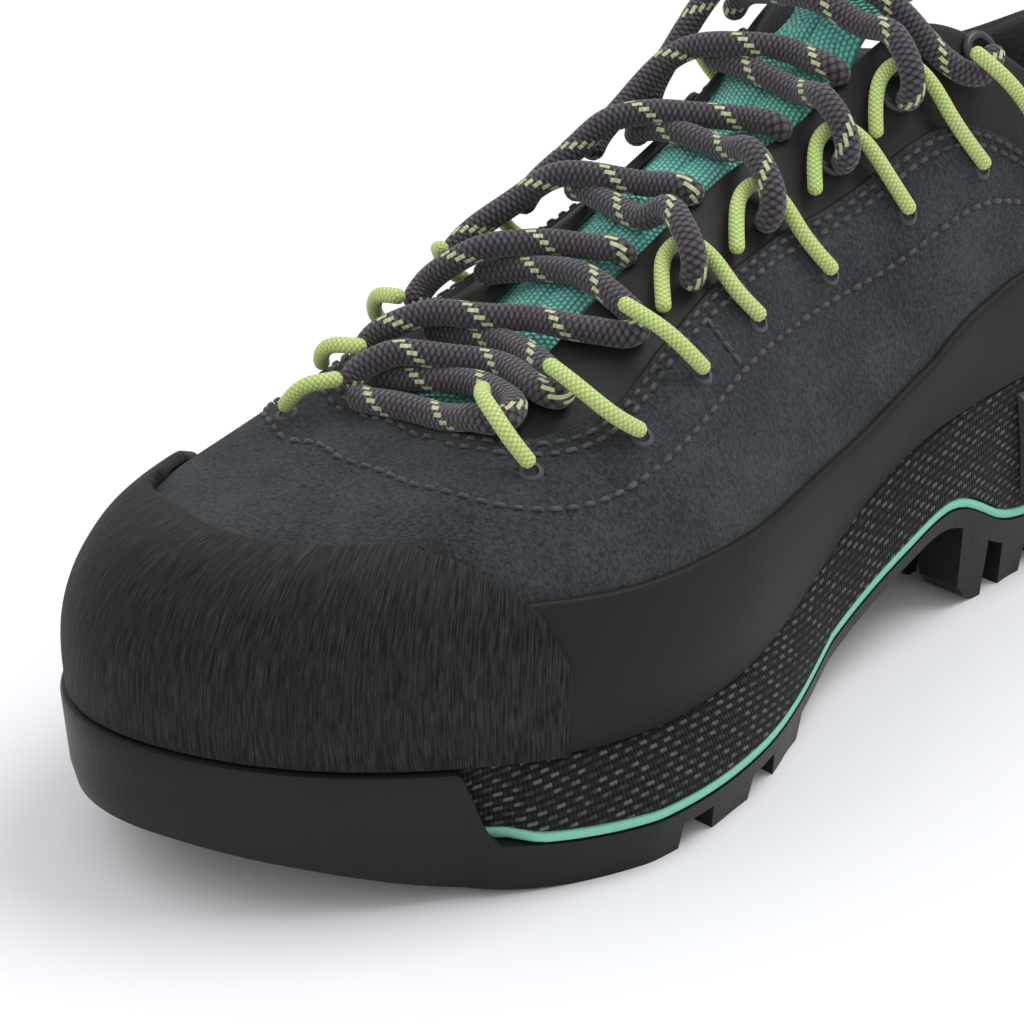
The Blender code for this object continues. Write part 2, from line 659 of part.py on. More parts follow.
def core_outset(k):
    """The midsole and bright layer: inside the bumper at the toe, then flared."""
    return bumper_inside(k) if side_rib(k) < CORE_INSIDE_RIB else flare(k)


def feather(k):
    return surface(STATIONS[k], 0.0)[2]


def insole_ring(level):
    """Outline of the insole, just inside the upper's wall, at a level above the feather."""
    ring = []
    for k, u in enumerate(STATIONS):
        point = offset(u, 0.0, -WALL - INSOLE_CLEARANCE)
        ring.append((point[0], point[1], feather(k) + level))
    return np.array(ring)


def layer_rings(level):
    """Edge, bumper line and inner rings of a layer, at a height given by y."""
    edge = outset_ring(core_outset, lambda k, y: level(y))
    line = outset_ring(bumper_inside, lambda k, y: level(y))
    return [edge, line] + inner_rings(line, PLATE_SHARES, level)


def build_midsole(material):
    ledge = outset_ring(lambda k: min(MIDSOLE_LEDGE, core_outset(k)), lambda k, y: feather(k) - GAP)
    seat = insole_ring(-GAP)
    bulge = outset_ring(
        lambda k: core_outset(k) * 0.62 + min(MIDSOLE_BULGE, core_outset(k)) * 0.4,
        lambda k, y: (feather(k) - GAP) * 0.5 + (profile("mint", y) + GAP) * 0.5,
    )
    top = [ledge, seat] + inner_rings(seat, PLATE_SHARES)
    bottom = layer_rings(lambda y: profile("mint", y) + GAP)
    return closed_plate("midsole", material, top, [bulge], bottom)


def build_bright_layer(material):
    top = layer_rings(lambda y: profile("mint", y))
    bottom = layer_rings(lambda y: profile("mint", y) - MINT_THICKNESS)
    return closed_plate("bright_layer", material, top, [], bottom)


def has_lug(k, band, y):
    """Toe zone: one smooth tread. Ball and heel: separate lugs. Arch: none."""
    centre = k / 2 * RIB_COUNT / LUG_PITCHES
    side = min(centre, RIB_COUNT - centre)
    if side <= TOE_TREAD_LAST_RIB:
        return True
    in_arch = -0.045 * LENGTH < y < 0.140 * LENGTH
    at_heel_pole = side > SPINE_LAST_RIB - 0.5 and band == len(TREAD_BAND_HAS_LUGS) - 1
    return k % 2 == 0 and TREAD_BAND_HAS_LUGS[band] and not in_arch and not at_heel_pole


def cut_lugs(shell, lug_faces):
    """Push the lug faces down to the tread, with a draft on their sides."""
    grown = bmesh.ops.extrude_face_region(shell.bm, geom=lug_faces)["geom"]
    left_over = [face for face in lug_faces if face.is_valid]
    bmesh.ops.delete(shell.bm, geom=left_over, context="FACES")
    new_faces = {item for item in grown if isinstance(item, bmesh.types.BMFace) and item.is_valid}
    while new_faces:
        lug = {new_faces.pop()}
        edge_of_lug = set(lug)
        while edge_of_lug:
            beside = {f for face in edge_of_lug for edge in face.edges for f in edge.link_faces}
            edge_of_lug = beside & new_faces
            new_faces -= edge_of_lug
            lug |= edge_of_lug
        corners = {corner for face in lug for corner in face.verts}
        centre = sum((corner.co for corner in corners), Vector()) / len(corners)
        for corner in corners:
            inward = (centre - corner.co) * Vector((1, 1, 0))
            if inward.length > LUG_DRAFT:
                corner.co += inward.normalized() * LUG_DRAFT
            corner.co.z = profile("tread", corner.co.y)


def build_outsole(material):
    def plate_top(y):
        return profile("mint", y) - MINT_THICKNESS - GAP

    def wall_top(k, y):
        share = bumper_share(k)
        return share * (feather(k) - GAP) + (1 - share) * plate_top(y)

    rim = outset_ring(sole_outset, wall_top)
    lip = outset_ring(lambda k: bumper_inside(k) + GAP, wall_top)
    line = outset_ring(bumper_inside, lambda k, y: plate_top(y))
    top = [rim, lip, line] + inner_rings(line, PLATE_SHARES, plate_top)
    low_rim = outset_ring(lambda k: sole_outset(k) - 0.0006, lambda k, y: profile("root", y))
    shell = Shell()
    rings = list(reversed(top)) + [low_rim]
    for low, high in zip(rings, rings[1:]):
        shell.strip(low, high)
    tread = inner_rings(low_rim, TREAD_BANDS, lambda y: profile("root", y))
    lug_faces = []
    for band, (low, high) in enumerate(zip(tread, tread[1:])):
        for k, face in enumerate(shell.strip(low, high)):
            middle_y = (low[k][1] + low[(k + 1) % STATION_COUNT][1]) / 2
            if face is not None and has_lug(k, band, middle_y):
                lug_faces.append(face)
    cut_lugs(shell, lug_faces)
    return shell.finish("outsole", material)


def build_stabiliser(material):
    """Smooth shell around the heel of the midsole."""
    numbers = [k for k in range(STATION_COUNT) if side_rib(k) >= STABILISER_FIRST_RIB]
    numbers.sort(key=lambda k: STATIONS[k] % RIB_COUNT)

    def wall(k, share, distance):
        top_out = min(MIDSOLE_LEDGE, core_outset(k))
        ring_out = top_out * share + core_outset(k) * (1 - share) + distance
        point = outset_ring(lambda other: ring_out, lambda other, y: 0.0)[k]
        low = profile("mint", point[1])
        point[2] = low + (feather(k) - low) * share
        return point

    outer = []
    inner = []
    for k in numbers:
        shares = [STABILISER_LOW, 0.5, STABILISER_HIGH]
        bulge = [0.0, 0.0008, 0.0]
        inside = [0.0, 0.0004, 0.0]
        shell_out = STABILISER_SEAT + STABILISER_THICKNESS
        outer.append(np.array([wall(k, s, shell_out + b) for s, b in zip(shares, bulge)]))
        inner.append(np.array([wall(k, s, STABILISER_SEAT + b) for s, b in zip(shares, inside)]))
    return closed_band("heel_stabiliser", material, outer, inner, closed=False)


# Upper

def collar_padding(u, v):
    """The collar is padded: a thicker wall around the ankle."""
    side = min(u % RIB_COUNT, RIB_COUNT - u % RIB_COUNT)
    return COLLAR_PADDING * blend(7.8, 9.2, side) * blend(0.45, 0.72, v) * (1 - blend(0.9, 1.0, v) * 0.4)


def panel_top(u):
    """Where the rubber on the upper ends: the cap's rim, or the rand behind it."""
    side = min(u % RIB_COUNT, RIB_COUNT - u % RIB_COUNT)
    return edge_at(CAP_RIM if side <= CAP_HALF_SPAN else RAND_TOP, u)


def panel_places(u):
    """Rows shared by the upper and the rubber on it, so that they never cross."""
    return [panel_top(u) * share for share in PANEL_ROWS]


def build_upper(material):
    outer = []
    inner = []
    for u in STATIONS:
        step = edge_at(SUEDE_EDGE, u)
        panel = panel_top(u)
        low_places = panel_places(u) + [(panel + step) / 2, step - STEP_SLOPE]
        high_places = [step + STEP_SLOPE, (step + 1.0) / 2, 1.0]
        lining_places = [0.0, panel / 2, panel, (panel + TONGUE_WINGS[0]) / 2] + TONGUE_WINGS
        wall = [offset(u, v, 0.0) for v in low_places]
        wall += [offset(u, v, -SUEDE_STEP) for v in high_places]
        lining = [offset(u, v, -WALL - collar_padding(u, v)) for v in lining_places]
        lining[0][2] = wall[0][2]
        outer.append(np.array(wall))
        inner.append(np.array(lining))
    shell = Shell()
    loops = [np.concatenate([out, inside[::-1]]) for out, inside in zip(outer, inner)]
    for low, high in zip(loops, loops[1:] + loops[:1]):
        shell.strip(low, high)
    return shell.finish("upper", material)


def build_toe_cap(material):
    outer = []
    inner = []
    for u in [u for u in signed_stations() if abs(u) <= CAP_HALF_SPAN]:
        places = panel_places(u)
        lifts = [GAP + CAP_THICKNESS * swell for swell in CAP_SWELL]
        outer.append(np.array([offset(u, v, lift) for v, lift in zip(places, lifts)]))
        inner.append(np.array([offset(u, v, GAP) for v in places]))
        outer[-1][0][2] = inner[-1][0][2] = surface(u, 0.0)[2] + GAP
    return closed_band("toe_cap", material, outer, inner, closed=False)


def build_rand(material):
    """Rubber band low on the upper, from the toe cap around the heel and back to it."""
    outer = []
    inner = []
    first = RAND_START + 0.02
    around = sorted(u % RIB_COUNT for u in STATIONS)
    around = [u for u in around if first < u < RIB_COUNT - first]
    for u in [RAND_START] + around + [RIB_COUNT - RAND_START]:
        places = panel_places(u)
        outer.append(np.array([offset(u, v, GAP + RAND_THICKNESS) for v in places]))
        inner.append(np.array([offset(u, v, GAP) for v in places]))
        outer[-1][0][2] = inner[-1][0][2] = surface(u, 0.0)[2] + GAP
    return closed_band("rand", material, outer, inner, closed=False)


def build_insole(material):
    top_rim = insole_ring(GAP + INSOLE_THICKNESS)
    bottom_rim = insole_ring(GAP)
    top = [top_rim] + inner_rings(top_rim, PLATE_SHARES)
    bottom = [bottom_rim] + inner_rings(bottom_rim, PLATE_SHARES)
    return closed_plate("insole", material, top, [], bottom)


# Tongue

def tongue_section(u):
    """One row across the tongue: outer wing, middle, inner wing."""
    depth = -WALL - TONGUE_CLEARANCE
    narrow = 1 - 0.85 * blend(TONGUE_NARROWS_RIB, TONGUE_LAST_RIB, u)
    wings = [1 - (1 - v) * narrow for v in TONGUE_WINGS]
    outer = [offset(u, v, depth) for v in wings]
    inner = [offset(-u, v, depth) for v in wings]
    middle = (surface(u, 1.0) + surface(-u, 1.0)) / 2
    middle[2] -= TONGUE_DIP + (WALL + TONGUE_CLEARANCE) * (1 - blend(0.8, TONGUE_FULL_RIB, u))
    return np.array(outer + [middle] + inner[::-1])


def build_tongue(material):
    places = [u for u in STATIONS if 0.0 < u <= TONGUE_LAST_RIB]
    rows = [tongue_section(0.0)] + [tongue_section(u) for u in places]
    last = rows[-1]
    middle = last[3]
    for tip in TONGUE_TIP:
        across = np.array([-1.0, -0.68, -0.36, 0.0, 0.36, 0.68, 1.0])[::-1]
        row = []
        for share in across:
            x = middle[0] + share * tip.half_width
            y = middle[1] + tip.back + abs(share) * 0.004
            row.append((x, y, middle[2] + tip.up - tip.drop * share * share))
        rows.append(np.array(row))
    rows = np.array(rows)
    along = np.gradient(rows, axis=0)
    across = np.gradient(rows, axis=1)
    along[0, :] = along[1, :]
    across[0, :] = across[1, :]
    out = np.cross(across, along)
    out /= np.linalg.norm(out, axis=2)[:, :, None]
    out *= np.sign(out[5, 3, 2])
    out[0] = (out[0] + out[0][::-1]) / 2
    out[0] /= np.linalg.norm(out[0], axis=1)[:, None]
    under = rows - out * TONGUE_THICKNESS
    shell = Shell()
    for sheet in (rows, under):
        for low, high in zip(sheet, sheet[1:]):
            shell.strip(low, high, closed=False)
    for side in (0, -1):
        shell.strip(rows[:, side], under[:, side], closed=False)
    shell.strip(rows[-1], under[-1], closed=False)
    return shell.finish("tongue", material)


# Lacing

def over_throat(u, s, lift):
    """A place over the throat, or beyond its edges on the eyestay."""
    lift = lift / 1000
    if abs(s) >= 1:
        return offset(math.copysign(u, s), 1 - (abs(s) - 1) * EYESTAY_PER_SIDE, lift)
    share = (1 + s) / 2
    out = normal(u, 1.0) * share + normal(-u, 1.0) * (1 - share)
    out /= np.linalg.norm(out)
    return surface(u, 1.0) * share + surface(-u, 1.0) * (1 - share) + out * lift


def join(piece, other):
    """Fuse another solid into this one."""
    union = piece.modifiers.new("join", "BOOLEAN")
    union.operation = "UNION"
    union.object = other
    other.hide_render = True
    other.display_type = "WIRE"


def as_mesh(piece):
    """A curve's tube as a mesh object of the same name."""
    depsgraph = bpy.context.evaluated_depsgraph_get()
    mesh = bpy.data.meshes.new_from_object(piece.evaluated_get(depsgraph))
    name = piece.name
    bpy.data.objects.remove(piece, do_unlink=True)
    solid = bpy.data.objects.new(name, mesh)
    solid.name = name
    bpy.context.collection.objects.link(solid)
    return solid


def build_lace(material):
    """Pieces of the one lace, each fused from the strands that touch."""
    for name, strands in LACE_PIECES.items():
        solids = []
        for strand in strands:
            points = [over_throat(*place) for place in LACE_STRANDS[strand]]
            walk = sum(np.linalg.norm(after - before) for before, after in zip(points, points[1:]))
            route = smooth_route(points, round(walk / STRAND_SPACING) + 1)
            strand_name = f"{name} {strand}" if solids else name
            solids.append(as_mesh(tube(strand_name, material, route, LACE_DIAMETER, roundness=1)))
        for other in solids[1:]:
            join(solids[0], other)


def build_cord_loops(material):
    for name, places in CORD_LOOPS.items():
        points = smooth_route([over_throat(*place) for place in places], CORD_POINTS)
        tube("cord_loop_" + name.replace(" ", "_"), material, points, CORD_DIAMETER, roundness=1)


def build_eyelet(name, material, u, v):
    """A flat ring lying on the eyestay."""
    centre = offset(u, v, -SUEDE_STEP + GAP)
    out = Vector(normal(u, v))
    turn = Vector((0, 0, 1)).rotation_difference(out).to_matrix()
    sides = 10
    profile_points = [
        (EYELET_BORE / 2, 0.0),
        (EYELET_BORE / 2 + EYELET_HEIGHT * 0.3, EYELET_HEIGHT),
        (EYELET_OUTSIDE / 2, EYELET_HEIGHT * 0.6),
        (EYELET_OUTSIDE / 2, 0.0),
    ]
    shell = Shell()
    loops = []
    for number in range(sides):
        angle = 2 * math.pi * number / sides
        ring = [turn @ Vector((r * math.cos(angle), r * math.sin(angle), z)) for r, z in profile_points]
        loops.append(np.array([centre + np.array(point) for point in ring]))
    for low, high in zip(loops, loops[1:] + loops[:1]):
        shell.strip(low, high)
    return shell.finish(name, material)


def build_eyelets(material):
    for side, name in ((1, "outer"), (-1, "inner")):
        for number, u, s in LACE_RINGS:
            build_eyelet(f"eyelet_{name}_{number}", material, side * u, 1 - (s - 1) * EYESTAY_PER_SIDE)


def build_shoe():
    clear_scene()
    rubber = make_material("sole rubber", (0.035, 0.034, 0.035), 0.62)
    cap_rubber = make_material("cap rubber", (0.055, 0.054, 0.055), 0.60)
    rand_rubber = make_material("rand rubber", (0.030, 0.028, 0.026), 0.55)
    knit = make_material("midsole knit", (0.060, 0.062, 0.066), 0.85)
    bright = make_material("bright foam", (0.22, 0.56, 0.42), 0.70)
    suede = make_material("blue grey suede", (0.050, 0.060, 0.070), 0.92)
    tongue_cloth = make_material("tongue cloth", (0.12, 0.50, 0.42), 0.90)
    lining = make_material("insole cloth", (0.05, 0.05, 0.055), 0.90)
    lace = make_material("lace braid", (0.085, 0.075, 0.090), 0.80)
    cord = make_material("loop cord", (0.56, 0.68, 0.26), 0.70)
    shell_plastic = make_material("heel plastic", (0.10, 0.10, 0.105), 0.50)
    ring_plastic = make_material("eyelet plastic", (0.030, 0.030, 0.032), 0.40)
    build_outsole(rubber)
    build_bright_layer(bright)
    build_midsole(knit)
    build_stabiliser(shell_plastic)
    build_upper(suede)
    build_toe_cap(cap_rubber)
    build_rand(rand_rubber)
    build_insole(lining)
    build_tongue(tongue_cloth)
    build_lace(lace)
    build_cord_loops(cord)
    build_eyelets(ring_plastic)


build_shoe()
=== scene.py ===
# %% [markdown]
# Approach shoe, dressed for its picture
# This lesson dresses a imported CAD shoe. The solids fix every size. Each step adds
# one of the real shoe's pieces with its finish, and stays on the solid it replaces.

import math

import bmesh
import bpy
import numpy as np
from mathutils import Matrix, Vector


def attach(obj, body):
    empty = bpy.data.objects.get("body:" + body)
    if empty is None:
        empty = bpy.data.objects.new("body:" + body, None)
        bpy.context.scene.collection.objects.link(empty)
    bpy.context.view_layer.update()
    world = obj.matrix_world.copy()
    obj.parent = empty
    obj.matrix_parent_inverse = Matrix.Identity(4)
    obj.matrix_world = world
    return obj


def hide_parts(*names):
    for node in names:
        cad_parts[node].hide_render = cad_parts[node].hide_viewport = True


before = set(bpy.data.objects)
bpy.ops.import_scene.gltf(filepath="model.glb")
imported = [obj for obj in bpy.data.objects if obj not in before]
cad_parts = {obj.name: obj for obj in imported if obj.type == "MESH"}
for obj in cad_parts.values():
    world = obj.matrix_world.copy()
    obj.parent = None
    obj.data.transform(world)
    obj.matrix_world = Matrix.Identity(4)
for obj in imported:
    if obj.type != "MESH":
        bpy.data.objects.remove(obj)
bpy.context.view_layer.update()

# %% [markdown]
# The camera stands close, in front of the toe on the outer side, and looks down a
# little. A long lens keeps the toe from swelling. It is placed first, because every
# later choice of detail depends on how near the camera comes to a piece.

# %% Camera
CAMERA_PLACE = Vector((0.2766, -0.3511, 0.2443))
CAMERA_AZIMUTH, CAMERA_ELEVATION, CAMERA_ROLL = (math.radians(a) for a in (42.56, 26.25, -0.2))
back = Vector((
    math.sin(CAMERA_AZIMUTH) * math.cos(CAMERA_ELEVATION),
    -math.cos(CAMERA_AZIMUTH) * math.cos(CAMERA_ELEVATION),
    math.sin(CAMERA_ELEVATION),
))
level = Vector((math.cos(CAMERA_AZIMUTH), math.sin(CAMERA_AZIMUTH), 0.0))
upright = back.cross(level)
right = level * math.cos(CAMERA_ROLL) + upright * math.sin(CAMERA_ROLL)
up = upright * math.cos(CAMERA_ROLL) - level * math.sin(CAMERA_ROLL)
camera = bpy.data.objects.new("camera", bpy.data.cameras.new("camera"))
camera.data.lens = 92.0
camera.data.sensor_width = 36.0
camera.data.clip_start, camera.data.clip_end = 0.01, 20.0
turned = Matrix((right, up, back)).transposed().to_4x4()
camera.matrix_world = Matrix.Translation(CAMERA_PLACE) @ turned
bpy.context.scene.collection.objects.link(camera)
bpy.context.scene.camera = camera
print("camera", [round(v, 3) for v in camera.location])

# %% [markdown]
# The upper of a shoe is pulled over a last, a solid foot shape. Here the last is a
# table of ribs around the foot, joined by smooth curves. A place on it is (u, v):
# u counts ribs from the toe over the outer side, v climbs from sole to edge. The
# same table made the solids, so every piece that is laid on it fits them.

# %% Sizes and ribs
LENGTH, BALL_WIDTH = 0.270, 0.100
INSTEP_HEIGHT, HEEL_HEIGHT, FEATHER_HEIGHT = 0.113, 0.097, 0.0425
GAP, WALL, COLLAR_PADDING, SUEDE_STEP = 0.0003, 0.0030, 0.0032, 0.0011
CAP_THICKNESS, RAND_THICKNESS, MINT_THICKNESS = 0.0020, 0.0011, 0.0020
BUMPER_THICKNESS, BUMPER_OVERHANG = 0.0026, 0.0032
LACE_DIAMETER, CORD_DIAMETER = 0.0047, 0.0028

# rib: base along, across, lift; edge along, across, lift, whether of the heel;
# then share of the way in and up for three points; flare of the sole
RIBS = np.array([
    (-.483, -.24, .730, -.243, -.11, .593, 0, .01, .36, .09, .62, .33, .74, .06),
    (-.465, .04, .694, -.240, -.02, .593, 0, .01, .36, .09, .62, .33, .75, .06),
    (-.419, .34, .635, -.226, .07, .611, 0, -.01, .34, .09, .62, .33, .77, .06),
    (-.347, .62, .576, -.189, .11, .650, 0, -.03, .32, .09, .60, .35, .78, .08),
    (-.244, .82, .506, -.137, .11, .708, 0, -.05, .28, .09, .56, .42, .78, .16),
    (-.141, .83, .518, -.074, .11, .770, 0, -.05, .26, .12, .53, .48, .80, .13),
    (-.022, .68, .635, .015, .13, .841, 0, -.08, .22, .12, .51, .50, .79, .08),
    (.078, .62, .870, .093, .17, .903, 0, -.11, .22, .10, .51, .46, .78, .10),
    (.167, .63, .976, .185, .27, .991, 0, -.08, .22, .06, .52, .44, .77, .10),
    (.244, .65, 1.0, .263, .48, 1.03, 1, -.20, .25, .02, .55, .50, .80, .08),
    (.367, .61, 1.0, .356, .47, .907, 1, -.15, .30, .15, .60, .60, .82, .08),
    (.452, .35, 1.0, .437, .23, .948, 1, -.15, .30, .20, .60, .55, .82, .08),
    (.478, -.07, 1.0, .463, -.07, 1.0, 1, -.30, .30, .30, .60, .70, .84, .10),
    (.452, -.47, 1.0, .437, -.37, .948, 1, -.15, .30, .20, .60, .55, .82, .08),
    (.367, -.71, 1.0, .356, -.61, .918, 1, -.15, .30, .15, .60, .60, .82, .08),
    (.244, -.75, 1.0, .263, -.63, 1.04, 1, -.20, .25, .02, .55, .50, .80, .08),
    (.167, -.71, .990, .185, -.42, 1.0, 0, -.08, .22, .06, .52, .44, .77, .08),
    (.078, -.67, .918, .093, -.33, .916, 0, -.15, .22, .10, .51, .46, .77, .08),
    (-.022, -.73, .682, .015, -.29, .841, 0, -.10, .22, .12, .50, .48, .77, .08),
    (-.133, -.87, .553, -.074, -.27, .761, 0, -.03, .26, .14, .51, .46, .77, .08),
    (-.241, -.93, .541, -.137, -.27, .700, 0, -.02, .30, .14, .55, .40, .75, .08),
    (-.350, -.86, .612, -.189, -.27, .642, 0, -.01, .34, .12, .58, .34, .73, .06),
    (-.426, -.72, .694, -.226, -.25, .602, 0, .01, .36, .10, .60, .33, .72, .06),
    (-.470, -.49, .718, -.240, -.19, .593, 0, .01, .36, .10, .62, .33, .73, .06),
])
RIB_COUNT = len(RIBS)
half = BALL_WIDTH / 2
base = np.stack([RIBS[:, 1] * half, RIBS[:, 0] * LENGTH, RIBS[:, 2] * FEATHER_HEIGHT], axis=1)
top = np.where(RIBS[:, 6] > 0, HEEL_HEIGHT, INSTEP_HEIGHT)
edge = np.stack([RIBS[:, 4] * half, RIBS[:, 3] * LENGTH, RIBS[:, 5] * top], axis=1)
controls = [base]
for column in (7, 9, 11):
    point = base + (edge - base) * RIBS[:, column:column + 1]
    point[:, 2] = base[:, 2] + (edge[:, 2] - base[:, 2]) * RIBS[:, column + 1]
    controls.append(point)
controls = np.stack(controls + [edge], axis=1)
print("ribs:", RIB_COUNT, "with", controls.shape[1], "points each")

# %% [markdown]
# A natural spline is the curve that a thin strip of wood takes through pins. Solving
# it once around the ribs and once up each rib gives a surface with no corners.

# %% Smooth curves


def closed_curve(knots, values, period):
    """Smooth closed curve through the values at the knots."""
    count = len(knots)
    steps = np.diff(np.append(knots, knots[0] + period))
    system, target = np.zeros((count, count)), np.zeros_like(values)
    for k in range(count):
        after = (k + 1) % count
        system[k, k - 1] += steps[k - 1]
        system[k, k] += 2 * (steps[k - 1] + steps[k])
        system[k, after] += steps[k]
        rise = (values[after] - values[k]) / steps[k]
        target[k] = 6 * (rise - (values[k] - values[k - 1]) / steps[k - 1])
    bends = np.linalg.solve(system, target)

    def at(place):
        place = (place - knots[0]) % period + knots[0]
        k = int(np.searchsorted(knots, place, side="right")) - 1
        after = (k + 1) % count
        a = place - knots[k]
        b = steps[k] - a
        bow = (bends[k] * b**3 + bends[after] * a**3) / (6 * steps[k])
        near = (values[k] / steps[k] - bends[k] * steps[k] / 6) * b
        return bow + near + (values[after] / steps[k] - bends[after] * steps[k] / 6) * a

    return at


def open_curve(knots, values, places):
    """Smooth open curve through the values, read at the places."""
    count = len(knots)
    steps = np.diff(knots)
    system, target = np.eye(count), np.zeros_like(values)
    for k in range(1, count - 1):
        system[k, k - 1:k + 2] = steps[k - 1], 2 * (steps[k - 1] + steps[k]), steps[k]
        rise = (values[k + 1] - values[k]) / steps[k]
        target[k] = 6 * (rise - (values[k] - values[k - 1]) / steps[k - 1])
    bends = np.linalg.solve(system, target)
    k = np.clip(np.searchsorted(knots, places, side="right") - 1, 0, count - 2)
    a = (places - knots[k])[:, None]
    b = (knots[k + 1] - places)[:, None]
    step = steps[k][:, None]
    bow = (bends[k] * b**3 + bends[k + 1] * a**3) / (6 * step)
    near = (values[k] / step - bends[k] * step / 6) * b
    return bow + near + (values[k + 1] / step - bends[k + 1] * step / 6) * a


def walked(points):
    """Distance walked from the first point to each of the points."""
    return np.append(0.0, np.cumsum(np.linalg.norm(np.diff(points, axis=0), axis=1)))


ring_knots = walked(np.vstack([controls[:, 0], controls[:1, 0]]))
ring = closed_curve(ring_knots[:-1], controls.reshape(RIB_COUNT, -1), ring_knots[-1])


def rib_at(u, places):
    """Points of the last at rib number u, for the places v from 0 to 1."""
    whole = math.floor(u % RIB_COUNT)
    arc = ring_knots[whole] + (ring_knots[whole + 1] - ring_knots[whole]) * (u % RIB_COUNT - whole)
    points = ring(arc).reshape(5, 3)
    knots = walked(points)
    return open_curve(knots / knots[-1], points, np.asarray(places, float))


def laid(u, places, lifts):
    """Points at rib u and places v, lifted off the last by the lifts."""
    places = np.asarray(places, float)
    along = rib_at(u + 0.05, places) - rib_at(u - 0.05, places)
    climb = rib_at(u, np.minimum(places + 0.01, 1.0)) - rib_at(u, np.maximum(places - 0.01, 0.0))
    out = np.cross(along, climb)
    out /= np.linalg.norm(out, axis=1)[:, None]
    return rib_at(u, places) + out * np.broadcast_to(lifts, places.shape)[:, None]


def laid_one(u, v, lift=0.0):
    return laid(u, [v], [lift])[0]


def ease(low, high, value):
    """Smooth step from 0 at low to 1 at high."""
    share = np.clip((np.asarray(value, float) - low) / (high - low), 0.0, 1.0)
    return share * share * (3 - 2 * share)


def side_of(u):
    """Rib number counted from the toe on either side."""
    return min(u % RIB_COUNT, RIB_COUNT - u % RIB_COUNT)


def read(table, u):
    """A line of (u, v) places read at rib u; the inner side mirrors the outer."""
    places = np.array(table)
    return float(np.interp(side_of(u), places[:, 0], places[:, 1]))


print("perimeter of the last:", round(float(ring_knots[-1]) * 1000), "mm")

# %% [markdown]
# The lines where one material ends and the next begins are tables of (u, v) places,
# read off the real shoe: cap rim, rand, suede edge. The stations are the places
# around the shoe where the mesh has a row. They follow the pitch of the tread.

# %% Lines of the panels and stations
CAP_HALF_SPAN = 3.57
INNER_RIM_DROP, INNER_RIM_PLACE, INNER_RIM_WIDTH = 0.075, -2.1, 0.8
CAP_RIM = [(0.0, .46), (1.3, .47), (2.3, .485), (2.85, .43), (3.2, .37), (3.4, .31), (3.57, .20)]
RAND_TOP = [
    (3.4, .34), (4.6, .325), (5.6, .295), (6.5, .25), (7.3, .235), (8.1, .29), (9.0, .40), (10.5, .43), (12.0, .47),
]
SUEDE_EDGE = [
    (0.0, .955), (1.2, .95), (2.0, .88), (2.7, .79), (3.3, .715), (4.1, .705), (4.6, .76), (5.3, .80),
    (6.2, .795), (7.0, .76), (8.0, .73), (9.0, .70), (10.5, .66), (12.0, .70),
]
LUG_PITCHES, LUG_SHARE = 36, 0.62
LUG_STEPS, GROOVE_STEPS = 7, 5


def fine_stations():
    """Rib numbers of the rows around the shoe, and which part of the pitch each is in."""
    pitch = RIB_COUNT / LUG_PITCHES
    places, in_lug = [], []
    for number in range(LUG_PITCHES):
        for step in range(LUG_STEPS):
            places.append((number - LUG_SHARE / 2 + LUG_SHARE * step / LUG_STEPS) * pitch)
            in_lug.append(number)
        for step in range(GROOVE_STEPS):
            places.append((number + LUG_SHARE / 2 + (1 - LUG_SHARE) * step / GROOVE_STEPS) * pitch)
            in_lug.append(-1)
    return places, in_lug


STATIONS, IN_LUG = fine_stations()
COUNT = len(STATIONS)


def panel_top(u):
    """Where the rubber on the upper ends: the cap's rim, lower inside, or the rand."""
    signed = (u + RIB_COUNT / 2) % RIB_COUNT - RIB_COUNT / 2
    lower = INNER_RIM_DROP * math.exp(-((signed - INNER_RIM_PLACE) / INNER_RIM_WIDTH) ** 2)
    return read(CAP_RIM if side_of(u) <= CAP_HALF_SPAN else RAND_TOP, u) - lower


print("stations:", COUNT)

# %% [markdown]
# Materials are small networks of nodes. Writing them as sums is easier to read than
# wiring boxes, so one class turns + - * / into Math nodes, and its node method adds
# any other kind. The noise and the waves read a piece's own coordinates in metres,
# so a grain of half a millimetre is the same size everywhere.

# %% Shader maths


class Shade:
    """A socket in a material's tree that can be used in sums."""

    def __init__(self, tree, socket):
        self.tree, self.socket = tree, socket

    def node(self, kind, inputs, output=0, **settings):
        made = self.tree.nodes.new(kind)
        for name, value in settings.items():
            setattr(made, name, value)
        for key, value in inputs.items():
            if isinstance(value, Shade):
                self.tree.links.new(value.socket, made.inputs[key])
            else:
                made.inputs[key].default_value = value
        return Shade(self.tree, made.outputs[output])

    def sum(self, operation, *others):
        return self.node("ShaderNodeMath", dict(enumerate((self, *others))), operation=operation)

    def __add__(self, other):
        return self.sum("ADD", other)

    def __sub__(self, other):
        return self.sum("SUBTRACT", other)

    def __mul__(self, other):
        return self.sum("MULTIPLY", other)

    def __truediv__(self, other):
        return self.sum("DIVIDE", other)

    def __radd__(self, other):
        return self + other

    def __rmul__(self, other):
        return self * other

    def __rsub__(self, other):
        return self * -1.0 + other

    def __gt__(self, other):
        return self.sum("GREATER_THAN", other)

    def __lt__(self, other):
        return self.sum("LESS_THAN", other)


def noise(place, scale, detail=2.0, roughness=0.5):
    inputs = {"Vector": place, "Scale": scale, "Detail": detail, "Roughness": roughness}
    return place.node("ShaderNodeTexNoise", inputs)


def between(share, first, second):
    """Colour mix: the first where share is 0, the second where it is 1."""
    inputs = {0: share, 6: (*first, 1.0) if isinstance(first, tuple) else first}
    inputs[7] = (*second, 1.0) if isinstance(second, tuple) else second
    return share.node("ShaderNodeMix", inputs, 2, data_type="RGBA")


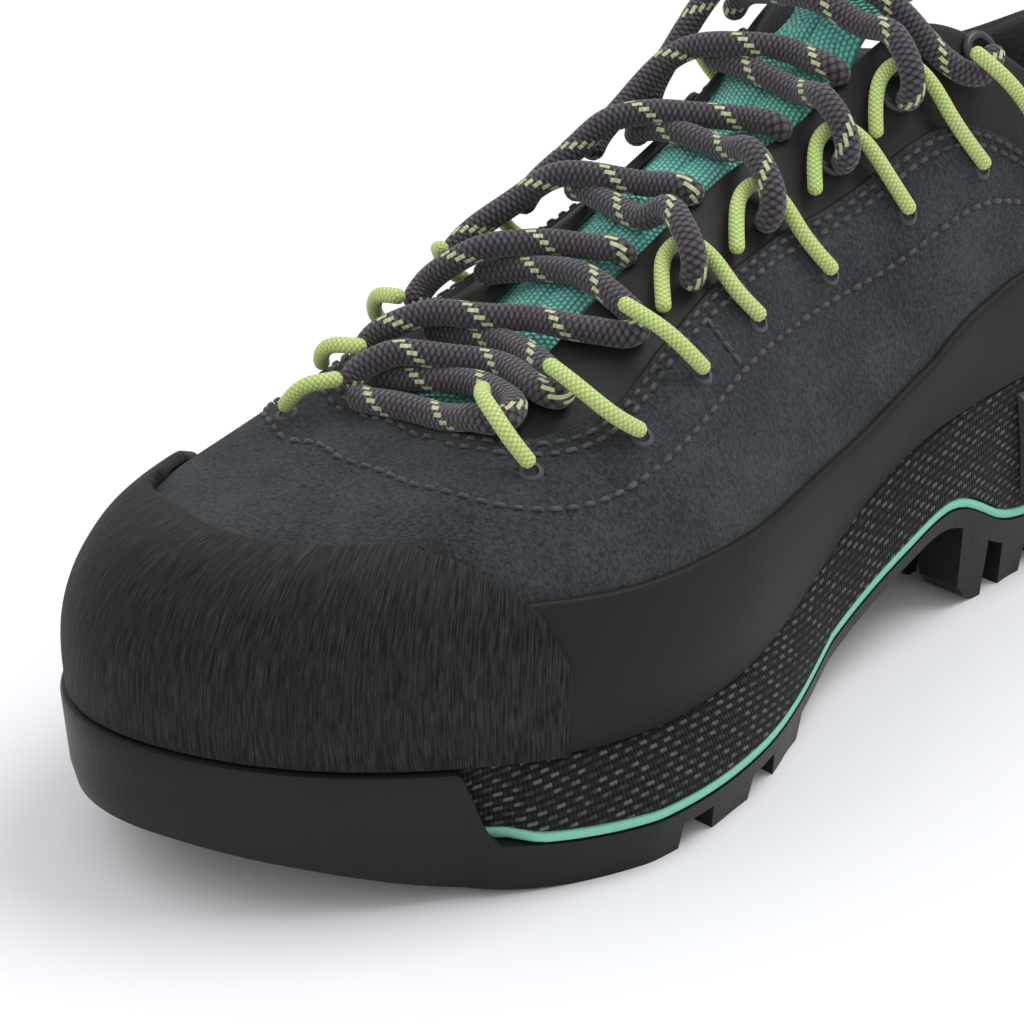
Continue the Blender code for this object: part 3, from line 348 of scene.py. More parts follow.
def spread(value, low, high):
    """The value stretched so that low becomes 0 and high becomes 1, kept inside 0 to 1."""
    return value.node("ShaderNodeMapRange", {0: value, 1: low, 2: high, 3: 0.0, 4: 1.0})


def new_finish(name, roughness, **constants):
    """A material with its shader, a place in metres and the piece's own UV in metres."""
    material = bpy.data.materials.new(name)
    material.use_nodes = True
    tree = material.node_tree
    shader = tree.nodes["Principled BSDF"]
    shader.inputs["Roughness"].default_value = roughness
    for key, value in constants.items():
        shader.inputs[key.replace("_", " ")].default_value = value
    coordinates = tree.nodes.new("ShaderNodeTexCoord")
    return material, Shade(tree, coordinates.outputs["Object"]), Shade(tree, coordinates.outputs["UV"])


def finish_with(material, colour, height=None, depth=0.0):
    """Links the colour and a bump of the given depth in metres to the shader."""
    tree = material.node_tree
    shader = tree.nodes["Principled BSDF"]
    tree.links.new(colour.socket, shader.inputs["Base Color"])
    if height is not None:
        bump = height.node("ShaderNodeBump", {"Height": height, "Distance": depth, "Strength": 1.0})
        tree.links.new(bump.socket, shader.inputs["Normal"])


def plain_finish(name, roughness, grain, dark, light, depth=0.0, tone=None, **constants):
    """A finish from one noise for the bump, and the same or a wider one for the colour."""
    material, place, uv = new_finish(name, roughness, **constants)
    bumps = noise(place, *grain)
    colour = between(noise(place, *tone) if tone else bumps, dark, light)
    finish_with(material, colour, bumps if depth else None, depth)
    return material


def axes(uv):
    """The first and the second coordinate of a UV."""
    first = uv.node("ShaderNodeSeparateXYZ", {0: uv})
    return first, Shade(first.tree, first.socket.node.outputs[1])


def in_cell(count):
    """Place inside a cell, from -0.5 to 0.5, where whole numbers count the cells."""
    return count.sum("FRACT") - 0.5


def crossed(along, turn):
    """Bumps of two sets of yarns that wind around a cord both ways."""
    first, second = in_cell(along + turn * 0.5), in_cell(along - turn * 0.5)
    return 1.0 - first * first * 2.6 - second * second * 2.6


def stretched(uv, x, y):
    """The UV with each axis scaled, for grain that runs one way."""
    return uv.node("ShaderNodeMapping", {"Vector": uv, "Scale": (x, y, 1.0)}, vector_type="POINT")


print("shader helpers ready")

# %% [markdown]
# Suede is leather buffed to a short nap. Close up it is a fine speckle, and wide
# soft patches show where the nap lies another way. Two noises give both: a fine one
# for the bump and speckle, a wide one for the patches. Sheen lightens it at glancing
# angles, as the hairs do. The smooth layer by the throat is a near-black microfibre.

# %% Suede and the smooth eyestay
suede, place, uv = new_finish(
    "blue_grey_suede", 0.92, Sheen_Weight=0.12, Sheen_Roughness=0.5, Specular_IOR_Level=0.1,
)
nap = noise(place, 1300.0, 5.0, 0.75)
patches = noise(place, 60.0, 4.0, 0.6)
speckle = spread(nap * 0.7 + patches * 0.3, 0.42, 0.60)
finish_with(suede, between(speckle, (0.012, 0.0145, 0.0175), (0.058, 0.068, 0.076)), nap, 0.0009)

eyestay = plain_finish(
    "black_microfibre", 0.58, (900.0, 2.0, 0.6), (0.012, 0.0117, 0.0112), (0.025, 0.024, 0.023),
    0.00012, (60.0, 2.0, 0.5), Specular_IOR_Level=0.22,
)
lining = plain_finish(
    "dark_lining_cloth", 0.95, (1100.0, 1.0, 0.5), (0.016, 0.017, 0.018), (0.045, 0.047, 0.050),
    0.0003, Sheen_Weight=0.2,
)
print("suede, eyestay and lining finishes")

# %% [markdown]
# The toe cap is rubber with hundreds of fine upright lines, which hide scuffs. They
# are noise stretched along the piece's own UV, whose first axis runs around the toe
# and whose second climbs it, both in metres. Its colour is painted lighter towards the
# top: a painted highlight on the roll and painted shade on the front wall. The rand is
# the same rubber, smooth.

# %% Rubbers
cap_rubber, place, uv = new_finish("lined_cap_rubber", 0.60, Specular_IOR_Level=0.16)
lines = noise(stretched(uv, 3400.0, 150.0), 1.0, 2.0, 0.6)
breaks = noise(stretched(uv, 900.0, 300.0), 1.0, 2.0, 0.5)
worn = spread(lines * 0.75 + breaks * 0.25, 0.40, 0.62)
# painted light: between 28 and 52 mm up, the cap turns from the painted shade of the front wall to the painted
# highlight of the top roll
climb = spread(axes(uv)[1], 0.028, 0.052)
painted_shade_front_rubber = between(worn, (0.004, 0.004, 0.004), (0.036, 0.036, 0.036))
painted_highlight_top_rubber = between(worn, (0.022, 0.022, 0.021), (0.074, 0.076, 0.074))
finish_with(cap_rubber, between(climb, painted_shade_front_rubber, painted_highlight_top_rubber), lines, 0.0006)

rand_rubber = plain_finish(
    "smooth_rand_rubber", 0.55, (1400.0, 2.0, 0.5), (0.010, 0.0098, 0.0090), (0.018, 0.0172, 0.0155),
    0.00008, (50.0, 3.0, 0.6), Specular_IOR_Level=0.16,
)
sole_rubber = plain_finish(
    "black_sole_rubber", 0.45, (1300.0, 2.0, 0.5), (0.008, 0.008, 0.008), (0.016, 0.016, 0.016),
    0.0001, (40.0, 3.0, 0.6), Specular_IOR_Level=0.20,
)
print("rubber finishes")

# %% [markdown]
# The midsole is foam wrapped in a dark knit. Every stitch of pale yarn shows as a
# short dash, and each row is set half a dash aside from the next. The rows come from
# the UV: whole numbers count the cells, and the part left over is the place in one.

# %% Knit, foam and heel plastic
KNIT_COLUMN, KNIT_ROW = 0.0031, 0.0013
knit, place, uv = new_finish("dash_knit", 0.90, Sheen_Weight=0.05, Specular_IOR_Level=0.1)
around_sole, up_wall = axes(uv)
rows = up_wall / KNIT_ROW
across_cell = in_cell(around_sole / KNIT_COLUMN + rows.sum("FLOOR") * 0.5)
up_cell = in_cell(rows)
dash = (across_cell.sum("ABSOLUTE") < 0.24) * (up_cell.sum("ABSOLUTE") < 0.23)
yarn = noise(place, 1700.0, 2.0, 0.6)
chance = noise(place, 330.0, 1.0, 0.5)
mesh_columns = in_cell(around_sole / (KNIT_COLUMN / 4))
mesh_bumps = 1.0 - mesh_columns.sum("ABSOLUTE") - up_cell.sum("ABSOLUTE")
# painted shade: the knit's body is darker where the mesh bumps are low, between the yarns, mixed with random yarn
# tone
knit_yarn_tone_and_painted_gap_shade = spread(mesh_bumps * 0.6 + yarn * 0.4, 0.2, 0.75)
knit_colour_with_painted_gap_shade = between(knit_yarn_tone_and_painted_gap_shade, (0.003, 0.003, 0.0035), (0.022, 0.023, 0.024))
dash_colour = between(spread(chance, 0.42, 0.6), (0.030, 0.032, 0.034), (0.105, 0.110, 0.115))
knit_height = mesh_bumps * 0.5 + dash * 0.35 + yarn * 0.3
finish_with(knit, between(dash, knit_colour_with_painted_gap_shade, dash_colour), knit_height, 0.0006)

bright_foam = plain_finish(
    "mint_foam", 0.75, (900.0, 2.0, 0.5), (0.19, 0.52, 0.38), (0.24, 0.60, 0.45), 0.00015,
    Specular_IOR_Level=0.3,
)
heel_plastic = plain_finish(
    "grey_heel_plastic", 0.48, (1100.0, 2.0, 0.5), (0.060, 0.061, 0.066), (0.085, 0.086, 0.092),
    0.0001, Specular_IOR_Level=0.4,
)
print("knit, foam and plastic finishes")

# %% [markdown]
# Tongue cloth, lace and cord are woven. The tongue has fine ribs. The lace is a braid
# of dark yarns with one bright yarn that winds around it, seen as short ticks that
# step along it. Its UV holds metres along and the share of the way around.

# %% Cloth, braid and cord
CLOTH_WARP, CLOTH_WEFT = 0.00105, 0.0011
LACE_YARNS, LACE_PITCH, LACE_HELIX = 12.0, 0.0011, 0.0145
CORD_YARNS, CORD_PITCH = 12.0, 0.0009
TICK_LENGTH, TICK_WIDTH = 0.062, 0.31

tongue_cloth, place, uv = new_finish("mint_tongue_cloth", 0.92, Sheen_Weight=0.25, Specular_IOR_Level=0.2)
across_cloth, along_cloth = axes(uv)
warp_count = across_cloth / CLOTH_WARP
warp = in_cell(warp_count)
weft = in_cell(along_cloth / CLOTH_WEFT + warp_count.sum("FLOOR") * 0.5)
knot = 1.0 - warp * warp * 3.2 - weft * weft * 3.2
fray = noise(place, 1600.0, 3.0, 0.6)
# painted light: the cloth is lighter on the yarn crowns and darker between them, a painted highlight and painted
# shade, with random fray tone
cloth_crown_light_and_gap_shade = spread(knot * 0.7 + fray * 0.5, 0.25, 1.05)
cloth_colour_with_painted_light = between(cloth_crown_light_and_gap_shade, (0.05, 0.33, 0.27), (0.24, 0.78, 0.66))
finish_with(tongue_cloth, cloth_colour_with_painted_light, knot + fray * 0.4, 0.0005)

lace_braid, place, uv = new_finish("charcoal_braid", 0.85, Sheen_Weight=0.25, Specular_IOR_Level=0.25)
along, turn_share = axes(uv)
yarn_place = turn_share * LACE_YARNS
braid = crossed(along / LACE_PITCH, yarn_place)
tick_place = in_cell(along / LACE_HELIX - (yarn_place.sum("FLOOR") + 0.5) / LACE_YARNS)
tick = (tick_place.sum("ABSOLUTE") < TICK_LENGTH) * (in_cell(yarn_place).sum("ABSOLUTE") < TICK_WIDTH)
fray = noise(place, 2200.0, 2.0, 0.6)
# painted light: the braid's dark yarns are lighter on their crowns and darker in the grooves, a painted highlight and
# painted shade, with random fray tone; the bright ticks are the real yarn
braid_crown_light_and_gap_shade = spread(braid * 0.7 + fray * 0.5, 0.45, 1.05)
braid_colour_with_painted_light = between(braid_crown_light_and_gap_shade, (0.016, 0.013, 0.016), (0.120, 0.100, 0.120))
tick_colour = between(fray, (0.36, 0.41, 0.19), (0.66, 0.71, 0.40))
finish_with(lace_braid, between(tick, braid_colour_with_painted_light, tick_colour), braid + fray * 0.3, 0.00025)

loop_cord, place, uv = new_finish("pale_green_cord", 0.75, Sheen_Weight=0.15, Specular_IOR_Level=0.3)
along, turn_share = axes(uv)
braid = crossed(along / CORD_PITCH, turn_share * CORD_YARNS)
# painted light: the cord is lighter on the yarn crowns and darker in the grooves, a painted highlight and painted
# shade
cord_colour_with_painted_light = between(spread(braid, 0.4, 1.0), (0.40, 0.52, 0.14), (0.62, 0.75, 0.30))
finish_with(loop_cord, cord_colour_with_painted_light, braid, 0.00016)

thread = plain_finish(
    "dark_thread", 0.60, (300.0, 1.0), (0.012, 0.011, 0.013), (0.062, 0.058, 0.064), Sheen_Weight=0.2,
)
ring_plastic = plain_finish(
    "black_ring_plastic", 0.38, (200.0, 2.0), (0.022, 0.022, 0.024), (0.034, 0.034, 0.036),
)
print("cloth, braid and cord finishes")

# %% [markdown]
# Every skin of the shoe is a grid: rows around it, columns across it. One function
# turns a grid into a mesh with faces, a UV in metres and a material for each column.
# Where the grid comes back to its start, it is joined, so that no seam is open.

# %% Grids to pieces
MERGE_DISTANCE = 2e-6


def skin(name, grid, uvs, materials, bands=None, closed=True, loop=True):
    """A piece from a grid of points (rows, columns); bands gives a material for each column."""
    grid = np.asarray(grid, float)
    rows, columns = grid.shape[:2]
    last_row = rows if closed else rows - 1
    last_column = columns if loop else columns - 1
    i, j = np.meshgrid(np.arange(last_row), np.arange(last_column), indexing="ij")
    i, j = i.ravel(), j.ravel()
    corners = [(i, j), (i + 1, j), (i + 1, j + 1), (i, j + 1)]
    faces = np.stack([(a % rows) * columns + b % columns for a, b in corners], axis=1)
    mesh = bpy.data.meshes.new(name)
    mesh.from_pydata(grid.reshape(-1, 3).tolist(), [], faces.tolist())
    layer = mesh.uv_layers.new(name="UVMap")
    most_row, most_column = uvs.shape[0] - 1, uvs.shape[1] - 1
    flat = [uvs[np.minimum(a, most_row), np.minimum(b, most_column)] for a, b in corners]
    layer.data.foreach_set("uv", np.stack(flat, axis=1).reshape(-1).astype(np.float32))
    for material in materials:
        mesh.materials.append(material)
    if bands is not None:
        mesh.polygons.foreach_set("material_index", np.asarray(bands)[j].astype(np.int32))
    piece = bpy.data.objects.new(name, mesh)
    bpy.context.scene.collection.objects.link(piece)
    return piece


def close_up(piece, cap_rows=False, sharp=50.0):
    """Merges doubles, closes open ends, turns the faces outwards and shades them smooth."""
    work = bmesh.new()
    work.from_mesh(piece.data)
    bmesh.ops.remove_doubles(work, verts=work.verts[:], dist=MERGE_DISTANCE)
    if cap_rows:
        rims = [e for e in work.edges if e.is_boundary]
        bmesh.ops.holes_fill(work, edges=rims, sides=0)
        big = [f for f in work.faces if len(f.verts) > 4]
        bmesh.ops.triangulate(work, faces=big)
    bmesh.ops.recalc_face_normals(work, faces=work.faces[:])
    work.to_mesh(piece.data)
    work.free()
    piece.data.shade_smooth()
    piece.data.set_sharp_from_angle(angle=math.radians(sharp))
    return piece


def keep(piece, slot, *nodes):
    """Rides on the one body and stands for the CAD nodes, which it hides; the slot is not used."""
    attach(piece, "root")
    if nodes:
        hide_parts(*nodes)
    count = sum(len(face.vertices) - 2 for face in piece.data.polygons)
    print(piece.name, "triangles:", count)
    return piece


def arc_lengths(grid):
    """Distance walked along each row of a grid."""
    return np.array([walked(row) for row in grid])


around = np.array([rib_at(u, [0.3])[0] for u in STATIONS + [STATIONS[0]]])
AROUND = walked(around)


def metre_uv(grid):
    """UV in metres: around the shoe by station, and up each station's own line."""
    grid = np.asarray(grid)
    climb = arc_lengths(grid)
    climb = np.concatenate([climb, climb[:1]]) if len(grid) == COUNT else climb
    climb = np.concatenate([climb, climb[:, -1:] + 0.001], axis=1)
    walk = AROUND[:len(climb), None] * np.ones(climb.shape)
    return np.stack([walk, climb], axis=2)


def both_sides(outer, inner):
    """Sections that go up the outer line and back down the inner one."""
    return np.concatenate([np.array(outer), np.array(inner)[:, ::-1]], axis=1)


def dress(name, grid, material, slot, node, sharp=50.0, **how):
    """A grid as a finished piece that stands for one CAD node."""
    piece = skin(name, grid, metre_uv(grid), [material], **how)
    close_up(piece, cap_rows=not how.get("closed", True), sharp=sharp)
    return keep(piece, slot, node)


print("walk around the shoe:", round(float(AROUND[-1]) * 1000), "mm")

# %% [markdown]
# The upper is one shell: suede outside, a step down to the smooth layer by the
# throat, over the edge, and the lining back down inside. The columns crowd together
# at the step and the edge, so that both stay crisp. The collar is thicker, because
# it is padded.

# %% Upper
# ribs over which the padding begins, places over which it swells and then thins
COLLAR_RIBS, COLLAR_SWELLS, COLLAR_THINS, COLLAR_LOSS = (7.8, 9.2), (0.45, 0.72), (0.9, 1.0), 0.4


def collar_padding(u, v):
    thinned = 1 - ease(*COLLAR_THINS, v) * COLLAR_LOSS
    return COLLAR_PADDING * ease(*COLLAR_RIBS, side_of(u)) * ease(*COLLAR_SWELLS, v) * thinned


LINING_START, LINING_EDGE = .80, 0.75
LINING_PLACES = [.76, .80, .85, .90, .95, .98, 1.0]
RUBBER_ROWS, SUEDE_ROWS, SMOOTH_ROWS = 6, 22, 9
STEP_SHAPE = ((-0.008, 0.0), (-0.005, 0.06), (-0.002, 0.3), (0.001, 0.7), (0.004, 0.95), (0.007, 1.0))
EDGE_SHAPE = ((0.985, 1.1), (0.993, 1.35), (1.0, 1.8))


def upper_places(u):
    """Places and lifts of the outer skin, from the feather line to the edge."""
    step, panel = read(SUEDE_EDGE, u), panel_top(u)
    places = list(np.linspace(0.0, panel, RUBBER_ROWS))
    places += list(np.linspace(panel, step - 0.012, SUEDE_ROWS))[1:]
    drops = [0.0] * len(places)
    places += [step + share for share, drop in STEP_SHAPE]
    places += list(np.linspace(step + 0.015, 0.975, SMOOTH_ROWS))
    places += [place for place, drop in EDGE_SHAPE]
    drops += [drop for share, drop in STEP_SHAPE] + [1.0] * SMOOTH_ROWS + [drop for place, drop in EDGE_SHAPE]
    return places, -SUEDE_STEP * np.array(drops)


outer, inner = [], []
for u in STATIONS:
    places, lifts = upper_places(u)
    outer.append(laid(u, places, lifts))
    panel = panel_top(u)
    inside = [0.0, panel / 2, panel, (panel + LINING_START) / 2] + LINING_PLACES
    depth = [-WALL - collar_padding(u, v) for v in inside]
    depth[-1] *= LINING_EDGE
    line = laid(u, inside, depth)
    line[0][2] = outer[-1][0][2]
    inner.append(line)
grid = both_sides(outer, inner)
columns = np.arange(grid.shape[1])
step_column = RUBBER_ROWS + SUEDE_ROWS + 1
bands = np.where(columns < step_column, 0, np.where(columns < len(outer[0]), 1, 2))
upper = skin("upper_shell", grid, metre_uv(grid), [suede, eyestay, lining], bands)
close_up(upper, sharp=60.0)
keep(upper, "suede", "upper")

# %% [markdown]
# The toe cap is a thick rubber moulding. Its rim swells into a soft roll, with a
# shallow valley below it, and ends in a step down to the suede. The front wall is
# plain. The thickness is read off a smooth curve instead of straight steps.

# %% Toe cap
CAP_COLUMNS = 34
PANEL_ROWS, CAP_SWELL = [0.0, 0.33, 0.66, 0.88, 1.0], [1.0, 1.0, 0.82, 1.1, 1.05]
CAP_END_LENGTH, CAP_END_THICKNESS = 0.09, 0.72
CAP_STEP_START, CAP_STEP_WIDTH, CAP_STEP_FALL = 0.975, 0.025, 0.65


def cap_profile(shares):
    """Thickness of the cap as a share, from its foot (0) to its rim (1)."""
    body = np.interp(shares, PANEL_ROWS, CAP_SWELL)
    body = np.convolve(np.pad(body, 2, mode="edge"), [0.15, 0.2, 0.3, 0.2, 0.15], mode="valid")
    over_step = np.clip((shares - CAP_STEP_START) / CAP_STEP_WIDTH, 0, 1)
    fall = np.sqrt(np.clip(1 - over_step ** 2, 0, 1))
    return body * (1 - CAP_STEP_FALL + CAP_STEP_FALL * fall)


shares = np.append(np.linspace(0.0, 0.965, CAP_COLUMNS), [0.975, 0.983, 0.990, 0.996, 1.0])
signed = sorted(u if u < RIB_COUNT / 2 else u - RIB_COUNT for u in (s % RIB_COUNT for s in STATIONS))
cap_stations = [-CAP_HALF_SPAN] + [u for u in signed if abs(u) < CAP_HALF_SPAN - 0.01] + [CAP_HALF_SPAN]
outer, inner = [], []
for u in cap_stations:
    places = panel_top(u) * shares
    end = min(1.0, (CAP_HALF_SPAN - abs(u)) / CAP_END_LENGTH)
    round_end = CAP_END_THICKNESS + (1 - CAP_END_THICKNESS) * math.sqrt(1 - (1 - end) ** 2)
    outer.append(laid(u, places, GAP + CAP_THICKNESS * cap_profile(shares) * round_end))
    inner.append(laid(u, places[::6], GAP))
    outer[-1][0][2] = inner[-1][0][2] = rib_at(u, [0.0])[0][2] + GAP
dress("toe_cap_lined", both_sides(outer, inner), cap_rubber, "cap_rubber", "toe_cap", closed=False)

# %% [markdown]
# The rand is a thin rubber band that seals the upper to the sole. It starts under
# the edge of the cap, runs around the heel and comes back on the other side.

# %% Rand
RAND_UNDER_CAP, RAND_COLUMNS = 3.32, 14
RAND_EDGE = np.array([(0.985, 0.85), (0.993, 0.6), (1.0, 0.15)])
shares = np.append(np.linspace(0.0, 0.97, RAND_COLUMNS), RAND_EDGE[:, 0])
thickness = RAND_THICKNESS * np.append(np.ones(RAND_COLUMNS), RAND_EDGE[:, 1])
outer, inner = [], []
rand_stations = [u for u in sorted(s % RIB_COUNT for s in STATIONS) if RAND_UNDER_CAP + .02 < side_of(u)]
rand_stations = [RAND_UNDER_CAP] + rand_stations + [RIB_COUNT - RAND_UNDER_CAP]
for u in rand_stations:
    places = read(RAND_TOP, u) * shares
    outer.append(laid(u, places, GAP + thickness))
    inner.append(laid(u, places[::4], GAP))
    outer[-1][0][2] = inner[-1][0][2] = rib_at(u, [0.0])[0][2] + GAP
dress("rand_band", both_sides(outer, inner), rand_rubber, "rand_rubber", "rand", closed=False)

# %% [markdown]
# The sole is built from rings: the feather line moved outwards in plan, at heights
# read from a side profile. All layers share those rings, so they fit on each other.

# %% Rings of the sole
# along, top of the bright layer, sole between lugs, lug faces, as shares of the feather height
SOLE_PROFILE = np.array([
    (-.500, .52, .45, .370), (-.475, .48, .40, .300), (-.425, .40, .31, .190), (-.375, .33, .21, .080),
    (-.325, .28, .15, .010), (-.290, .255, .12, .000), (-.210, .240, .115, .000), (-.100, .255, .115, .000),
    (-.050, .290, .140, .000), (.000, .370, .235, .110), (.050, .470, .335, .230), (.100, .575, .440, .330),
    (.130, .630, .490, .380), (.148, .610, .450, .000), (.175, .470, .300, .000), (.210, .370, .190, .000),
    (.260, .350, .165, .000), (.400, .360, .165, .000), (.450, .375, .185, .010), (.500, .390, .230, .110),
])
MINT, ROOT, TREAD = 1, 2, 3
PROFILE_SMOOTHING = 0.006
BUMPER_FULL_RIB, BUMPER_END_RIB, CORE_INSIDE_RIB = 2.88, 3.12, 3.20
MIDSOLE_LEDGE, MIDSOLE_BULGE = 0.0010, 0.0010
SPINE_FIRST_RIB, SPINE_LAST_RIB, TOE_TREAD_LAST_RIB = 2.7, 10.6, 3.9


def height_at(column, y):
    samples = [y + PROFILE_SMOOTHING * share for share in (-1.0, -0.5, 0.0, 0.5, 1.0)]
    heights = SOLE_PROFILE[:, column] * FEATHER_HEIGHT
    return float(np.mean(np.interp(samples, SOLE_PROFILE[:, 0] * LENGTH, heights)))


FEATHER = np.array([rib_at(u, [0.0])[0] for u in STATIONS])
step_along = np.array([rib_at(u + .05, [0.0])[0] - rib_at(u - .05, [0.0])[0] for u in STATIONS])
OUT = np.stack([step_along[:, 1], -step_along[:, 0]], axis=1)
OUT /= np.linalg.norm(OUT, axis=1)[:, None]
if (OUT[0] * (FEATHER[0, :2] - FEATHER[:, :2].mean(axis=0))).sum() < 0:
    OUT = -OUT
SIDE = np.array([side_of(u) for u in STATIONS])
flares = np.append(RIBS[:, 13], RIBS[0, 13])
FLARE = np.array([np.interp(u % RIB_COUNT, range(RIB_COUNT + 1), flares) for u in STATIONS]) * BALL_WIDTH / 2
BUMPER = 1 - ease(BUMPER_FULL_RIB, BUMPER_END_RIB, SIDE)
RIM_OUT = BUMPER * BUMPER_OVERHANG + (1 - BUMPER) * FLARE
LINE_OUT = RIM_OUT - BUMPER_THICKNESS - GAP
core_share = ease(CORE_INSIDE_RIB - 0.08, CORE_INSIDE_RIB + 0.16, SIDE)
CORE_OUT = LINE_OUT * (1 - core_share) + FLARE * core_share
INSOLE_OUT = 0.0037


def outset(distance, heights):
    """A ring: the feather line moved out in plan, at the given heights."""
    plan = FEATHER[:, :2] + OUT * np.broadcast_to(distance, COUNT)[:, None]
    rise = heights(plan[:, 1]) if callable(heights) else np.broadcast_to(heights, COUNT)
    return np.column_stack([plan, rise])


def level_of(column, shift=0.0):
    return lambda ys: np.array([height_at(column, y) + shift for y in ys])


def mirror(k):
    """The row at the same place on the other side of the shoe."""
    return (LUG_STEPS - k) % COUNT


def spine_of(ring_points):
    halfway = range(LUG_STEPS // 2 + 1, COUNT // 2 + LUG_STEPS // 2 + 1)
    usable = [k for k in halfway if SPINE_FIRST_RIB <= SIDE[k] <= SPINE_LAST_RIB]
    spine = []
    for k in range(COUNT):
        near = k if k in halfway else mirror(k)
        near = min(max(near, usable[0]), usable[-1])
        spine.append((ring_points[near] + ring_points[mirror(near)]) / 2)
    return np.array(spine)


def rings_inside(ring_points, shares, heights=None):
    spine = spine_of(ring_points)
    rings = []
    for share in shares:
        points = ring_points * share + spine * (1 - share)
        if heights is not None:
            points[:, 2] = heights(points[:, 1])
        rings.append(points)
    return rings


print("sole rings: widest", round(float(np.ptp(outset(RIM_OUT, 0.0)[:, 0])) * 1000, 1), "mm")

# %% [markdown]
# The foam midsole bulges a little between the ledge under the upper and the mint
# layer. The wall follows a curve through three distances from the feather line: at
# the ledge, half way down and at the mint layer.

# %% Midsole
PLATE_SHARES = [0.5, 0.0]
ledge_out = np.minimum(MIDSOLE_LEDGE, CORE_OUT)
bulge_out = CORE_OUT * 0.62 + np.minimum(MIDSOLE_BULGE, CORE_OUT) * 0.4
top_height = FEATHER[:, 2] - GAP
ledge = outset(ledge_out, top_height)
seat = outset(-INSOLE_OUT, top_height)
wall = []
low_ring = outset(CORE_OUT, level_of(MINT, GAP))
for share in np.linspace(0.0, 1.0, 15):
    curve = (1 - share) * (1 - 2 * share) * ledge_out + 4 * share * (1 - share) * bulge_out
    out_here = curve + share * (2 * share - 1) * CORE_OUT
    points = outset(out_here, 0.0)
    points[:, 2] = ledge[:, 2] * (1 - share) + low_ring[:, 2] * share
    wall.append(points)
wall[0] = ledge
wall[-1] = low_ring
under = outset(LINE_OUT, level_of(MINT, GAP))
rings = list(reversed([seat] + rings_inside(seat, PLATE_SHARES))) + wall
rings += [under] + rings_inside(under, PLATE_SHARES, level_of(MINT, GAP))
dress("midsole_wall", np.stack(rings, axis=1), knit, "midsole_knit", "midsole", 70.0, loop=False)

# %% [markdown]
# The mint layer is a thin sheet of foam whose edge shows as a bright line. Its edge
# is rounded a little, so that it catches the light.

# %% Bright layer
BRIGHT_ROUNDING = ((0.0, 0.0004), (0.15, 0.0001), (0.5, 0.0), (0.85, 0.0001), (1.0, 0.0004))


def plate(height):
    """The edge ring of a flat layer and the rings inside it."""
    edge_ring = outset(LINE_OUT, height)
    return [edge_ring] + rings_inside(edge_ring, PLATE_SHARES, height)


tops, lows = plate(level_of(MINT)), plate(level_of(MINT, -MINT_THICKNESS))
rims = [outset(CORE_OUT - pull, level_of(MINT, -MINT_THICKNESS * share)) for share, pull in BRIGHT_ROUNDING]
grid = np.stack(tops[::-1] + rims + lows, axis=1)
dress("bright_line", grid, bright_foam, "bright_foam", "bright_layer", loop=False)

# %% [markdown]
# The outsole is black rubber. At the toe it climbs as a bumper, behind it only a
# thin plate with lugs shows. A lug is a patch of the underside pushed down to the
# floor, with its foot drawn in, so that its sides lean.

# %% Outsole
LUG_DRAFT, RIM_DRAFT, LEAST_FACE = 0.0009, 0.0006, 1e-9
RIM_ROUNDING = ((0.0009, 0.0), (0.0003, 0.00025), (0.0, 0.0009))
ARCH_FRONT, ARCH_BACK = -0.045 * LENGTH, 0.140 * LENGTH
TREAD_BANDS = [1.0, 0.72, 0.60, 0.27, 0.15, 0.0]
BAND_HAS_LUGS = [True, False, True, False, True]

plate_top = level_of(MINT, -MINT_THICKNESS - GAP)


def wall_top(distance):
    ring_points = outset(distance, plate_top)
    ring_points[:, 2] = BUMPER * (FEATHER[:, 2] - GAP) + (1 - BUMPER) * ring_points[:, 2]
    return ring_points


def has_lug(k, band, y):
    """Whether row k of a tread band is pushed down; the toe's tread is one solid patch."""
    number = k // (LUG_STEPS + GROOVE_STEPS)
    side = side_of(number * RIB_COUNT / LUG_PITCHES)
    groove_side = side_of((number + 0.5) * RIB_COUNT / LUG_PITCHES)
    if (side if IN_LUG[k] >= 0 else groove_side) <= TOE_TREAD_LAST_RIB:
        return True
    in_arch = ARCH_FRONT < y < ARCH_BACK
    at_pole = side > SPINE_LAST_RIB - 0.5 and band == len(BAND_HAS_LUGS) - 1
    return IN_LUG[k] >= 0 and BAND_HAS_LUGS[band] and not in_arch and not at_pole


lip = wall_top(LINE_OUT + GAP)
low_rim = outset(RIM_OUT - RIM_DRAFT, level_of(ROOT))
rounded = []
for pull, drop in RIM_ROUNDING:
    points = wall_top(RIM_OUT - pull)
    points[:, 2] -= drop * BUMPER
    rounded.append(points)
sides = [rounded[-1] * (1 - share) + low_rim * share for share in (0.33, 0.66)]
line = outset(LINE_OUT, plate_top)
tops = [lip, line] + rings_inside(line, PLATE_SHARES, plate_top)
tread = rings_inside(low_rim, TREAD_BANDS, level_of(ROOT))
rings = tops[::-1] + rounded + sides + tread
grid = np.stack(rings, axis=1)
outsole = skin("outsole_lugged", grid, metre_uv(grid), [sole_rubber], loop=False)
first_band = len(tops) + len(rounded) + len(sides)
work = bmesh.new()
work.from_mesh(outsole.data)
work.faces.ensure_lookup_table()
columns_of_faces = grid.shape[1] - 1
lug_faces = []
for index, face in enumerate(work.faces[:]):
    k, column = divmod(index, columns_of_faces)
    band = column - first_band
    if band >= 0:
        cell = k - k % (LUG_STEPS + GROOVE_STEPS)
        start, end = (0, LUG_STEPS) if IN_LUG[k] >= 0 else (LUG_STEPS, LUG_STEPS + GROOVE_STEPS)
        first_y = grid[(cell + start) % COUNT, column, 1]
        last_y = grid[(cell + end) % COUNT, column, 1]
        if has_lug(k, band, (first_y + last_y) / 2):
            lug_faces.append(face)
bmesh.ops.remove_doubles(work, verts=work.verts[:], dist=MERGE_DISTANCE)
